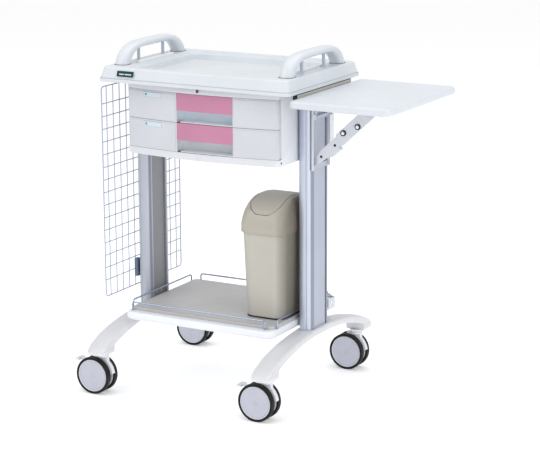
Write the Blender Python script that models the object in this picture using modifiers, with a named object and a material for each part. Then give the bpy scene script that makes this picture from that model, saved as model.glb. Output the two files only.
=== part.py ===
"""Medication cart: a tray top on two aluminium columns, two drawers, a lower shelf with guard rails,
a folding side shelf, a wire grid, a swing-top bin and four twin-wheel casters.

Metres, +Z up. The front, with the drawers, faces -Y, and the side shelf is on +X. Lengths below are
measured from the point on the floor midway between the columns, and the whole cart is then moved by
-CENTRE_X, so that the origin is the middle of the bounding box on the floor.
"""

import bmesh
import bpy
from math import atan2, cos, hypot, pi, radians, sin, sqrt
from mathutils import Vector

GAP = 0.0003            # clearance between pieces that touch
CENTRE_X = 0.1135       # middle of the cart's length, from the column midline
BORE_GAP = 0.0003       # radial clearance of a pin in its hole

# Tray
TRAY_HALF = (0.281, 0.199)
TRAY_RIM_HALF = (0.270, 0.188)
TRAY_BOTTOM = 0.825
TRAY_RIM = 0.864
TRAY_UNDER = 0.838
TRAY_FLOOR = 0.842
TRAY_LEDGE = 0.857

# Cabinet and drawers
CAB_HALF_X = 0.2242
CAB_SIDE_FRONT = -0.147
CAB_BACK = 0.157
CAB_BOTTOM = 0.634
CAB_TOP = 0.8235
CAB_WALL = 0.006
BAY = (0.652, 0.806)    # the drawers' opening, bottom and top
BOW = 0.022             # how far the fronts bulge at the middle
FRONT_BACK = -0.131     # back face of the drawer fronts
FRONT_HALF_X = 0.222
DRAWER_GAP = 0.0012
PANEL = (-0.064, 0.100)  # left and right ends of the coloured panel
PANEL_THICK = 0.003
GRIP_HEIGHT = 0.031
GRIP_BACK = -0.138
BOX_HALF_X = 0.2040
BOX_BACK = 0.140
BOX_HEIGHT = 0.060
BOX_WALL = 0.0025

# Columns and legs
COL_INNER = 0.2252
COL_OUTER = 0.2655
COL_HALF_Y = 0.055
COL_NOSE = 0.020        # depth of the rounded front and back of the extrusion
COL_GROOVE = 0.006
COL_WEB_IN, COL_WEB_OUT = 0.006, 0.0025   # how far the web lies in from each side
COL_BOTTOM = 0.1885
LEG_X = 0.247
LEG_HALF_WIDTH = 0.0275
LEG_END = 0.299
FOOT_BOTTOM = 0.114

# Casters
CASTER_Y = 0.254
TRAIL = 0.023
WHEEL_R = 0.050
TYRE_IN, TYRE_OUT = 0.0085, 0.0250
HUB_R = 0.0440
AXLE_R = 0.0040
STEM_R = 0.0062
BOSS_BOTTOM = 0.1090

# Lower shelf
SHELF_HALF = (0.2222, 0.190)
PLATE_HALF = (0.2150, 0.165)
SHELF_BOTTOM = 0.1905
LEDGE = 0.2120
PLATE_TOP = 0.2200
RAIL_R = 0.0022
RAIL_TOP = 0.2345
RAIL_X = 0.2186
RAIL_Y = 0.1705

# Wire grid
GRID_X = -0.2785
GRID_Y = (-0.190, 0.195)
GRID_Z = (0.243, 0.810)
GRID_WIRE = 0.0032
GRID_CELLS = (6, 8)

# Side shelf and its strut
BOARD_X = (0.2795, 0.557)
BOARD_HALF_Y = 0.202
BOARD_Z = (0.797, 0.816)
HINGE = (0.2750, 0.7520)       # x and z of the side shelf's hinge axis
HINGE_R = 0.0030
HINGE_EAR = 0.0057
BRACKET_Y = (-0.0505, 0.0425)
STRUT_TOP = (0.4270, 0.7745)   # x and z of the strut's upper pivot
STRUT_FOOT = (0.2755, 0.6370)
STRUT_FRONT = -0.0440
STRUT_HALF = 0.0165

# Bin
BIN_X, BIN_Y = 0.152, -0.015
BIN_BOTTOM = PLATE_TOP + GAP
BIN_TOP = 0.457
HOOD_BOTTOM = 0.447
FLAP_PIVOT_Z = 0.497

# Lock
LOCK_Z = 0.8150
LOCK_R = 0.0045

for old in list(bpy.data.objects):
    bpy.data.objects.remove(old)


def collection(name):
    made = bpy.data.collections.new(name)
    bpy.context.scene.collection.children.link(made)
    return made


PARTS = collection("medication_cart")
CUTTERS = collection("cutters")


def material(name, colour, roughness, metallic=0.0):
    made = bpy.data.materials.new(name)
    made.use_nodes = True
    shader = made.node_tree.nodes["Principled BSDF"]
    shader.inputs["Base Color"].default_value = (*colour, 1.0)
    shader.inputs["Roughness"].default_value = roughness
    shader.inputs["Metallic"].default_value = metallic
    return made


WHITE = material("white_moulding", (0.80, 0.83, 0.88), 0.35)
CABINET = material("cabinet_paint", (0.68, 0.70, 0.77), 0.40)
DRAWER = material("drawer_front", (0.70, 0.73, 0.80), 0.35)
PINK = material("pink_panel", (0.60, 0.22, 0.38), 0.40)
DRAWER_BOX = material("drawer_box", (0.60, 0.66, 0.70), 0.45)
ALUMINIUM = material("anodised_aluminium", (0.55, 0.60, 0.68), 0.30, 0.9)
STEEL = material("plated_steel", (0.52, 0.54, 0.60), 0.35, 0.9)
CHROME = material("chrome", (0.70, 0.74, 0.80), 0.10, 1.0)
LEG_PAINT = material("leg_paint", (0.74, 0.75, 0.79), 0.38)
PLATE_GREY = material("shelf_plate", (0.50, 0.49, 0.49), 0.45)
BUMPER = material("shelf_bumper", (0.72, 0.74, 0.82), 0.40)
WIRE = material("grid_wire", (0.80, 0.82, 0.88), 0.35)
CLIP = material("clip_plastic", (0.20, 0.26, 0.33), 0.45)
BIN = material("bin_plastic", (0.47, 0.46, 0.42), 0.45)
HOUSING = material("caster_housing", (0.75, 0.76, 0.80), 0.40)
DISC = material("wheel_disc", (0.56, 0.54, 0.60), 0.40)
TYRE = material("tyre", (0.03, 0.027, 0.027), 0.55)
BADGE = material("badge", (0.02, 0.17, 0.18), 0.30)


ROOT = bpy.data.objects.new("cart_frame", None)
ROOT.location = (-CENTRE_X, 0, 0)
PARTS.objects.link(ROOT)
origins = {ROOT: (0.0, 0.0, 0.0)}       # each empty's place, from the column midline


def empty(name, location, parent):
    """A pivot at a place given from the column midline on the floor."""
    made = bpy.data.objects.new(name, None)
    made.location = Vector(location) - Vector(origins[parent])
    made.parent = parent
    PARTS.objects.link(made)
    origins[made] = tuple(location)
    return made


def add(name, mesh, paint, at=(0, 0, 0), turn=(0, 0, 0), parent=ROOT, smooth=None):
    """An object of the cart, at a place given from the column midline on the floor."""
    made = bpy.data.objects.new(name, mesh)
    made.parent = parent
    made.location = Vector(at) - Vector(origins[parent])
    made.rotation_euler = turn
    if paint:
        mesh.materials.append(paint)
        PARTS.objects.link(made)
    else:
        CUTTERS.objects.link(made)
        made.hide_render = True
        made.display_type = "WIRE"
    if smooth:
        mesh.shade_smooth()
        mesh.set_sharp_from_angle(angle=radians(smooth))
    return made


def mesh_of(bm, name):
    mesh = bpy.data.meshes.new(name)
    bmesh.ops.recalc_face_normals(bm, faces=bm.faces)
    bm.to_mesh(mesh)
    bm.free()
    return mesh


def box(name, low, high):
    """A block between two corners, with its origin at (0, 0, 0)."""
    bm = bmesh.new()
    bmesh.ops.create_cube(bm, size=1.0)
    for vert in bm.verts:
        vert.co = [(a + b) / 2 + c * (b - a) for a, b, c in zip(low, high, vert.co)]
    return mesh_of(bm, name)


def cylinder(name, radius, length, segments=20):
    bm = bmesh.new()
    bmesh.ops.create_cone(bm, cap_ends=True, segments=segments, radius1=radius, radius2=radius, depth=length)
    return mesh_of(bm, name)


def arc(x, y, radius, start, end, steps):
    """Points on an arc, with its angles in degrees."""
    angles = [radians(start + (end - start) * i / steps) for i in range(steps + 1)]
    return [(x + radius * cos(a), y + radius * sin(a)) for a in angles]


def rounded_rect(half_x, half_y, radius, steps=4, x=0.0, y=0.0):
    points = []
    for side_x, side_y, start in ((1, 1, 0), (-1, 1, 90), (-1, -1, 180), (1, -1, 270)):
        points += arc(x + side_x * (half_x - radius), y + side_y * (half_y - radius),
                      radius, start, start + 90, steps)
    return points


def outline_mesh(name, loops, thickness):
    """A flat outline, with any further loops as holes, extruded by half the thickness each way."""
    curve = bpy.data.curves.new(name, "CURVE")
    curve.dimensions = "2D"
    curve.fill_mode = "BOTH"
    curve.extrude = thickness / 2
    for loop in loops:
        spline = curve.splines.new("POLY")
        spline.points.add(len(loop) - 1)
        spline.use_cyclic_u = True
        for point, (x, y) in zip(spline.points, loop):
            point.co = (x, y, 0, 1)
    return curve_mesh(name, curve)


def curve_mesh(name, curve):
    """The curve's evaluated mesh, with its caps welded on."""
    holder = bpy.data.objects.new(name + "_curve", curve)
    bpy.context.scene.collection.objects.link(holder)
    graph = bpy.context.evaluated_depsgraph_get()
    mesh = bpy.data.meshes.new_from_object(holder.evaluated_get(graph))
    bpy.data.objects.remove(holder)
    bm = bmesh.new()
    bm.from_mesh(mesh)
    bmesh.ops.remove_doubles(bm, verts=bm.verts, dist=0.00001)
    bmesh.ops.recalc_face_normals(bm, faces=bm.faces)
    bm.to_mesh(mesh)
    bm.free()
    mesh.name = name
    return mesh


def wire_mesh(name, points, radius, resolution=2):
    curve = bpy.data.curves.new(name, "CURVE")
    curve.dimensions = "3D"
    curve.bevel_depth = radius
    curve.bevel_resolution = resolution
    curve.use_fill_caps = True
    spline = curve.splines.new("POLY")
    spline.points.add(len(points) - 1)
    for point, place in zip(spline.points, points):
        point.co = (*place, 1)
    return curve_mesh(name, curve)


def loft(name, rings):
    """A closed solid through rings of equally many (x, y, z) points, with flat caps at both ends."""
    bm = bmesh.new()
    rows = [[bm.verts.new(point) for point in ring] for ring in rings]
    count = len(rows[0])
    for lower, upper in zip(rows, rows[1:]):
        for i in range(count):
            j = (i + 1) % count
            bm.faces.new((lower[i], lower[j], upper[j], upper[i]))
    bm.faces.new(rows[0][::-1])
    bm.faces.new(rows[-1])
    return mesh_of(bm, name)


def stack(name, levels, x=0.0, y=0.0, steps=4):
    """A loft through rounded rectangles, each (half_x, half_y, corner radius, z)."""
    rings = []
    for half_x, half_y, radius, z in levels:
        flat = rounded_rect(half_x, half_y, radius, steps, x, y)
        rings.append([(px, py, z) for px, py in flat])
    return loft(name, rings)


def boolean(target, helper, operation="DIFFERENCE"):
    modifier = target.modifiers.new(operation.lower(), "BOOLEAN")
    modifier.operation = operation
    modifier.solver = "EXACT"
    modifier.object = helper


def cut(target, mesh, at=(0, 0, 0), turn=(0, 0, 0)):
    boolean(target, add(target.name + "_cutter", mesh, None, at, turn))


def join(target, mesh, at=(0, 0, 0), turn=(0, 0, 0)):
    boolean(target, add(target.name + "_joined", mesh, None, at, turn), "UNION")


def bevel(target, width, segments=2, angle=40):
    modifier = target.modifiers.new("bevel", "BEVEL")
    modifier.width = width
    modifier.segments = segments
    modifier.limit_method = "ANGLE"
    modifier.angle_limit = radians(angle)


FACING_FRONT = (pi / 2, 0, 0)            # an outline's X and Y become world X and Z
FACING_SIDE = (pi / 2, 0, pi / 2)        # an outline's X and Y become world Y and Z


def tray():
    outer, rim = TRAY_HALF, TRAY_RIM_HALF
    levels = [
        (outer[0] - 0.014, outer[1] - 0.014, 0.008, TRAY_UNDER),
        (outer[0] - 0.011, outer[1] - 0.011, 0.008, TRAY_BOTTOM),
        (outer[0] - 0.001, outer[1] - 0.001, 0.013, TRAY_BOTTOM),
        (outer[0], outer[1], 0.014, TRAY_BOTTOM + 0.0015),
        (outer[0], outer[1], 0.014, TRAY_BOTTOM + 0.010),
        (rim[0] + 0.002, rim[1] + 0.002, 0.014, TRAY_RIM - 0.002),
        (rim[0], rim[1], 0.012, TRAY_RIM),
        (0.2135, 0.170, 0.040, TRAY_RIM),
        (0.2060, 0.163, 0.034, TRAY_LEDGE),
        (0.1980, 0.155, 0.028, TRAY_LEDGE),
        (0.1920, 0.149, 0.024, TRAY_FLOOR),
    ]
    add("tray", stack("tray", levels), WHITE, smooth=30)
    frame = stack("tray_frame", [(0.250, 0.150, 0.01, CAB_TOP + GAP),
                                 (0.250, 0.150, 0.01, TRAY_UNDER - GAP)], steps=2)
    add("tray_frame", frame, ALUMINIUM)
    slope = atan2(outer[1] - rim[1] - 0.002, TRAY_RIM - TRAY_BOTTOM - 0.012)
    badge = add("badge_plate", box("badge_plate", (-0.0265, -0.0015, -0.0085), (0.0265, 0, 0.0085)), BADGE,
                at=(-0.198, -(outer[1] + rim[1] + 0.002) / 2 - GAP, (TRAY_BOTTOM + TRAY_RIM + 0.008) / 2))
    badge.rotation_euler = (-slope, 0, 0)


def handle(side, name):
    """An arched grip on the tray's rim, with two thin posts under its bar."""
    base, under, top = TRAY_RIM + GAP, 0.900, 0.920
    outer = [(-0.156, base), (-0.151, 0.876), (-0.134, 0.897), (-0.109, 0.912), (-0.070, top)]
    inner = [(-0.066, under), (-0.097, 0.889), (-0.114, 0.872), (-0.120, base)]
    half = outer + [(-y, z) for y, z in reversed(outer)]
    loop = half + [(-y, z) for y, z in reversed(inner)] + inner
    grip = add(name, outline_mesh(name, [loop], 0.038), WHITE, at=(side * 0.2435, 0, 0), turn=FACING_SIDE)
    bevel(grip, 0.007, 2, 50)
    for place in (-0.058, 0.058):
        post = cylinder(name + "_post", 0.0045, under - base + 0.004, 10)
        join(grip, post, at=(side * 0.2435, place, (under + base) / 2 + 0.002))


def bowed_outline(back, inset=0.0, left=-FRONT_HALF_X, right=FRONT_HALF_X, steps=14):
    """A plan outline whose front edge follows the fronts' bulge, and whose back edge is straight."""
    front = []
    for i in range(steps + 1):
        x = left + (right - left) * i / steps
        front.append((x, bow_y(x) + inset))
    return front + [(right, back), (left, back)]


def bow_y(x):
    radius = (FRONT_HALF_X**2 + BOW**2) / (2 * BOW)
    centre = CAB_SIDE_FRONT - BOW + radius
    return centre - sqrt(radius**2 - x**2)


def cabinet():
    depth = CAB_TOP - CAB_BOTTOM
    plan = bowed_outline(CAB_BACK, 0, -CAB_HALF_X, CAB_HALF_X)
    shell = add("cabinet", outline_mesh("cabinet", [plan], depth), CABINET,
                at=(0, 0, CAB_BOTTOM + depth / 2))
    inner = CAB_HALF_X - CAB_WALL
    cut(shell, box("bay", (-inner, -0.3, BAY[0]), (inner, CAB_BACK - CAB_WALL, BAY[1])))
    cut(shell, box("mouth", (-0.3, -0.3, BAY[0]), (0.3, FRONT_BACK, BAY[1])))
    cut(shell, cylinder("lock_hole", LOCK_R + BORE_GAP, 0.040), at=(0, bow_y(0), LOCK_Z), turn=FACING_FRONT)
    ledge_tops = [z - GAP for z in box_bottoms()]
    for side, name in ((-1, "left"), (1, "right")):
        runner = add("runner_" + name, box("runner", (-0.0011, -0.125, BAY[0] + 0.003),
                                           (0.0011, 0.140, BAY[1] - 0.006)),
                     STEEL, at=(side * (inner - 0.0014), 0, 0))
        for top in ledge_tops:
            low, high = sorted((side * (inner - 0.0014), side * 0.196))
            join(runner, box("ledge", (low, -0.125, top - 0.002), (high, 0.140, top)))


def box_bottoms():
    height = (BAY[1] - BAY[0]) / 2
    return [BAY[0] + 0.008, BAY[0] + height + 0.008]


def drawer(name, level):
    """A box behind a bowed front, with a coloured panel above a finger recess."""
    height = (BAY[1] - BAY[0]) / 2
    low = BAY[0] + level * height + DRAWER_GAP / 2
    high = BAY[0] + (level + 1) * height - DRAWER_GAP / 2
    slider = empty(name, (0, FRONT_BACK, low), ROOT)
    front = add(name + "_front", outline_mesh(name, [bowed_outline(FRONT_BACK)], high - low), DRAWER,
                at=(0, 0, (low + high) / 2), parent=slider)
    grip = arc(PANEL[0] + 0.024, GRIP_BACK - 0.024, 0.024, 180, 90, 5)
    grip += [(PANEL[1], GRIP_BACK), (PANEL[1], -0.200), (PANEL[0], -0.200)]
    cut(front, outline_mesh("grip", [grip], GRIP_HEIGHT + 0.002), at=(0, 0, low + GRIP_HEIGHT / 2 - 0.001))
    rebate = bowed_outline(-0.200, PANEL_THICK + GAP, PANEL[0] - GAP, PANEL[1] + GAP, 6)
    cut(front, outline_mesh("rebate", [rebate], high - low - GRIP_HEIGHT + 0.002 + GAP),
        at=(0, 0, (low + GRIP_HEIGHT + high + 0.002 - GAP) / 2))
    face = []
    for i in range(7):
        x = PANEL[0] + (PANEL[1] - PANEL[0]) * i / 6
        face.append((x, bow_y(x)))
    panel = face + [(x, y + PANEL_THICK) for x, y in reversed(face)]
    panel_low = low + GRIP_HEIGHT
    add(name + "_panel", outline_mesh(name + "_panel", [panel], high - panel_low), PINK,
        at=(0, 0, (panel_low + high) / 2), parent=slider)
    floor = box_bottoms()[level]
    half_y = (BOX_BACK - FRONT_BACK - GAP) / 2
    levels = [(BOX_HALF_X, half_y, 0.004, floor),
              (BOX_HALF_X, half_y, 0.004, floor + BOX_HEIGHT),
              (BOX_HALF_X - BOX_WALL, half_y - BOX_WALL, 0.002, floor + BOX_HEIGHT),
              (BOX_HALF_X - BOX_WALL, half_y - BOX_WALL, 0.002, floor + BOX_WALL)]
    add(name + "_box", stack(name + "_box", levels, y=FRONT_BACK + GAP + half_y, steps=1), DRAWER_BOX,
        parent=slider)


def lock():
    turner = empty("lock", (0, bow_y(0), LOCK_Z), ROOT)
    barrel = cylinder("lock_cylinder", LOCK_R, 0.018)
    add("lock_cylinder", barrel, CHROME, at=(0, bow_y(0) + 0.009 - 0.0006, LOCK_Z), turn=FACING_FRONT,
        parent=turner, smooth=40)


def column(side, name):
    """An extrusion with a rounded front and back, and a web set back behind a groove on each side."""
    centre = (COL_INNER + COL_OUTER) / 2
    half = (COL_OUTER - COL_INNER) / 2
    nose_y = -COL_HALF_Y + COL_NOSE
    nose = [(centre + half * cos(a), nose_y + COL_NOSE * sin(a)) for a in
            [radians(-180 + 18 * i) for i in range(11)]]
    outer = [(COL_OUTER - COL_GROOVE, nose_y + 0.0010), (COL_OUTER - COL_GROOVE, nose_y + 0.0035),
             (COL_OUTER - COL_WEB_OUT, nose_y + 0.0040)]
    inner = [(COL_INNER + COL_WEB_IN, nose_y + 0.0030)]
    back = [(x, -y) for x, y in reversed(inner + nose + outer)]
    loop = [(side * x, y) for x, y in inner + nose + outer + back]
    length = CAB_TOP - COL_BOTTOM
    add(name, outline_mesh(name, [loop], length), ALUMINIUM, at=(0, 0, COL_BOTTOM + length / 2), smooth=25)


def leg(side, name):
    """An arched beam along Y: the column stands on its middle and a caster under each end."""
    top = [(0.299, 0.1280), (0.280, 0.1400), (0.259, 0.1505), (0.207, 0.1670), (0.140, 0.1805),
           (0.085, 0.1865), (0.058, COL_BOTTOM - GAP)]
    under = [(0.040, 0.1715), (0.103, 0.1670), (0.158, 0.1570), (0.205, 0.1450), (0.2425, 0.1320),
             (0.2430, FOOT_BOTTOM), (LEG_END, FOOT_BOTTOM)]
    half = top[::-1]
    loop = [(-y, z) for y, z in top] + half + [(y, z) for y, z in reversed(under)]
    loop += [(-y, z) for y, z in under]
    beam = add(name, outline_mesh(name, [loop], 2 * LEG_HALF_WIDTH), LEG_PAINT,
               at=(side * LEG_X, 0, 0), turn=FACING_SIDE)
    bevel(beam, 0.004, 2, 50)
    for place in (-CASTER_Y, CASTER_Y):
        height = 0.140 - BOSS_BOTTOM
        join(beam, cylinder("boss", 0.0200, height, 20), at=(side * LEG_X, place, BOSS_BOTTOM + height / 2))
    for place in (-CASTER_Y, CASTER_Y):
        cut(beam, cylinder("stem_hole", STEM_R + BORE_GAP, 0.080), at=(side * LEG_X, place, 0.106))


def caster(side, end, name, braked):
    """A twin-wheel caster: its housing turns on a stem, and its wheels turn on one shaft."""
    swivel_x, place = side * LEG_X, end * CASTER_Y
    centre_x = swivel_x - TRAIL
    swivel = empty(name, (swivel_x, place, WHEEL_R), ROOT)
    hood = arc(0, 0, WHEEL_R + 0.0035, 8, 96, 10)
    web = arc(0, 0, 0.0130, 150, 340, 8)
    housing = add(name + "_housing", outline_mesh(name, [hood + web], 0.0130), HOUSING,
                  at=(centre_x, place, WHEEL_R), turn=FACING_FRONT, parent=swivel)
    join(housing, box("neck", (swivel_x - 0.013, place - 0.0065, 0.088),
                      (swivel_x + 0.013, place + 0.0065, 0.102)))
    join(housing, cylinder("collar", 0.0145, 0.0083, 16), at=(swivel_x, place, 0.10435))
    join(housing, cylinder("stem", STEM_R, 0.043, 16), at=(swivel_x, place, 0.1215))
    cut(housing, cylinder("shaft_hole", AXLE_R + BORE_GAP, 0.030, 16), at=(centre_x, place, WHEEL_R),
        turn=FACING_FRONT)
    axle = empty(name + "_wheel", (centre_x, place, WHEEL_R), swivel)
    core = turned(name + "_core", [(0.0, TYRE_OUT - 0.0010), (HUB_R - 0.0015, TYRE_OUT - 0.0010),
                                   (HUB_R - GAP, TYRE_OUT - 0.0025), (HUB_R - GAP, TYRE_IN),
                                   (0.0100, TYRE_IN), (AXLE_R, TYRE_IN - 0.0010),
                                   (AXLE_R, -TYRE_IN + 0.0010), (0.0100, -TYRE_IN),
                                   (HUB_R - GAP, -TYRE_IN), (HUB_R - GAP, -TYRE_OUT + 0.0025),
                                   (HUB_R - 0.0015, -TYRE_OUT + 0.0010), (0.0, -TYRE_OUT + 0.0010)], 24)
    add(name + "_wheel_core", core, DISC, at=(centre_x, place, WHEEL_R), turn=FACING_FRONT, parent=axle,
        smooth=40)
    for face, where in ((1, "front"), (-1, "back")):
        near, far = sorted((face * TYRE_IN, face * TYRE_OUT))
        shoulder = 0.0030
        ring = [(HUB_R, far), (WHEEL_R - shoulder, far), (WHEEL_R, far - shoulder),
                (WHEEL_R, near + shoulder), (WHEEL_R - shoulder, near), (HUB_R, near)]
        tyre = turned(name + "_tyre", ring, 24, closed=True)
        add(name + "_tyre_" + where, tyre, TYRE, at=(centre_x, place, WHEEL_R), turn=FACING_FRONT,
            parent=axle, smooth=40)
    if braked:
        pivot = (centre_x - 0.021, place, WHEEL_R + 0.034)
        rocker = empty(name + "_brake", pivot, swivel)
        lever = [(0.000, -0.004), (0.004, 0.0), (0.0, 0.004), (-0.0265, 0.0045), (-0.0265, 0.001)]
        pedal = add(name + "_pedal", outline_mesh(name + "_pedal", [lever], 0.0120), HOUSING,
                    at=pivot, turn=FACING_FRONT, parent=rocker)
        join(pedal, box("paddle", (centre_x - 0.0600, place - 0.014, pivot[2] - 0.0005),
                        (centre_x - 0.0465, place + 0.014, pivot[2] + 0.0050)))


def turned(name, profile, steps, closed=False):
    """A profile of (radius, height) points, top to bottom down its outer side, turned about local Z."""
    mesh = bpy.data.meshes.new(name + "_profile")
    count = len(profile)
    edges = [(i, i + 1) for i in range(count - 1)]
    if closed:
        edges.append((count - 1, 0))
    mesh.from_pydata([(radius, 0, height) for radius, height in profile], edges, [])
    holder = bpy.data.objects.new(name + "_profile", mesh)
    bpy.context.scene.collection.objects.link(holder)
    screw = holder.modifiers.new("screw", "SCREW")
    screw.steps = steps
    screw.render_steps = steps
    screw.use_merge_vertices = True
    screw.merge_threshold = 0.0001
    graph = bpy.context.evaluated_depsgraph_get()
    made = bpy.data.meshes.new_from_object(holder.evaluated_get(graph))
    bpy.data.objects.remove(holder)
    bm = bmesh.new()
    bm.from_mesh(made)
    bmesh.ops.remove_doubles(bm, verts=bm.verts, dist=0.00001)
    bmesh.ops.recalc_face_normals(bm, faces=bm.faces)
    bm.to_mesh(made)
    bm.free()
    made.name = name
    return made


def lower_shelf():
    x, y = SHELF_HALF
    levels = [(x - 0.007, y - 0.007, 0.016, SHELF_BOTTOM),
              (x - 0.002, y - 0.002, 0.020, SHELF_BOTTOM + 0.002),
              (x, y, 0.022, SHELF_BOTTOM + 0.007),
              (x, y, 0.022, LEDGE - 0.006),
              (x - 0.002, y - 0.002, 0.020, LEDGE - 0.0015),
              (x - 0.005, y - 0.006, 0.016, LEDGE)]
    add("shelf_bumper", stack("shelf_bumper", levels), BUMPER, smooth=40)
    px, py = PLATE_HALF
    plate = [(px, py, 0.014, LEDGE + GAP), (px, py, 0.014, PLATE_TOP - 0.002),
             (px - 0.002, py - 0.002, 0.012, PLATE_TOP)]
    add("shelf_plate", stack("shelf_plate", plate, steps=3), PLATE_GREY)


def guard_rail(name, start, end):
    """A bent wire that stands on the shelf's ledge at both of its ends."""
    turn = 0.008
    start, end = Vector(start), Vector(end)
    along = (end - start).normalized()
    up = Vector((0, 0, 1))
    points = [start]
    for corner, going in ((start, 1), (end, -1)):
        middle = corner + up * (RAIL_TOP - corner.z - turn) + along * turn * going
        bend = []
        for i in range(4):
            angle = radians(30 * i)
            bend.append(middle - along * going * turn * cos(angle) + up * turn * sin(angle))
        points += bend if going > 0 else bend[::-1]
    points.append(end)
    add(name, wire_mesh(name, points, RAIL_R), CHROME)


def guard_rails():
    base = LEDGE + GAP
    guard_rail("rail_front", (-0.2080, -RAIL_Y, base), (0.1945, -RAIL_Y, base))
    guard_rail("rail_back", (-0.2000, RAIL_Y, base), (0.2000, RAIL_Y, base))
    guard_rail("rail_left", (-RAIL_X, -0.1500, base), (-RAIL_X, 0.1500, base))
    guard_rail("rail_right", (RAIL_X, -0.1500, base), (RAIL_X, 0.1500, base))


def wire_grid():
    """The grid as one flat lattice: an outline with a hole for each cell."""
    low_y, high_y = GRID_Y
    low_z, high_z = GRID_Z
    centre_y, centre_z = (low_y + high_y) / 2, (low_z + high_z) / 2
    loops = [rounded_rect((high_y - low_y) / 2, (high_z - low_z) / 2, 0.010, 2, centre_y, centre_z)]
    across, up = GRID_CELLS
    step_y = (high_y - low_y - GRID_WIRE) / across
    step_z = (high_z - low_z - GRID_WIRE) / up
    for i in range(across):
        for j in range(up):
            y0 = low_y + GRID_WIRE + i * step_y
            z0 = low_z + GRID_WIRE + j * step_z
            y1, z1 = y0 + step_y - GRID_WIRE, z0 + step_z - GRID_WIRE
            loops.append([(y0, z0), (y0, z1), (y1, z1), (y1, z0)])
    add("wire_grid", outline_mesh("wire_grid", loops, GRID_WIRE), WIRE, at=(GRID_X, 0, 0), turn=FACING_SIDE)
    for name, low, high in (("grid_clip_lower", 0.270, 0.320), ("grid_clip_upper", 0.720, 0.770)):
        inner, outer = -COL_OUTER - GAP, GRID_X + GRID_WIRE / 2 + GAP
        clip = add(name, box(name, (outer, -0.052, low), (inner, -0.036, high)), CLIP)
        bevel(clip, 0.0015, 1)


def pole_socket():
    """A small bracket on the right column's back, with an upright ring for a drip pole's foot."""
    block = add("pole_socket", box("pole_socket", (0.236, COL_HALF_Y + GAP, 0.222), (0.262, 0.078, 0.246)),
                WHITE)
    join(block, cylinder("socket_ring", 0.0150, 0.024, 20), at=(0.249, 0.084, 0.234))
    cut(block, cylinder("socket_hole", 0.0100, 0.030, 20), at=(0.249, 0.084, 0.241))


def hinge_bar():
    bar = add("hinge_bar", box("hinge_bar", (COL_OUTER + GAP, -0.150, BOARD_Z[0]), (0.2785, 0.150, CAB_TOP)),
              STEEL)
    bevel(bar, 0.001, 1)


def strut_bracket():
    """A channel on the right column's outer face, with a window in its back, and lugs for the hinge pin."""
    low, high = 0.612, 0.790
    back, thick, lip = COL_OUTER + GAP, 0.0020, 0.2725
    near, far = BRACKET_Y
    section = [(back, near), (lip, near), (lip, near + thick), (back + thick, near + thick),
               (back + thick, far - thick), (lip, far - thick), (lip, far), (back, far)]
    holder = add("strut_bracket", outline_mesh("strut_bracket", [section], high - low), WHITE,
                 at=(0, 0, (low + high) / 2))
    cut(holder, box("window", (back - 0.001, near + 0.005, low + 0.014), (back + 0.004, far - 0.005, 0.740)))
    for place in (near, far - thick):
        lug = box("lug", (back + 0.001, place, HINGE[1] - 0.007),
                  (HINGE[0] + 0.005, place + thick, HINGE[1] + 0.007))
        join(holder, lug)
    length = far - near - thick
    join(holder, cylinder("hinge_pin", HINGE_R, length, 12), at=(HINGE[0], (near + far) / 2, HINGE[1]),
         turn=FACING_FRONT)


def along_strut(s, t):
    """World x and z of a point s down the strut from its upper pivot, and t towards its lower side."""
    dx, dz = STRUT_FOOT[0] - STRUT_TOP[0], STRUT_FOOT[1] - STRUT_TOP[1]
    length = hypot(dx, dz)
    ex, ez = dx / length, dz / length
    return STRUT_TOP[0] + s * ex - t * ez, STRUT_TOP[1] + s * ez + t * ex


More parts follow.
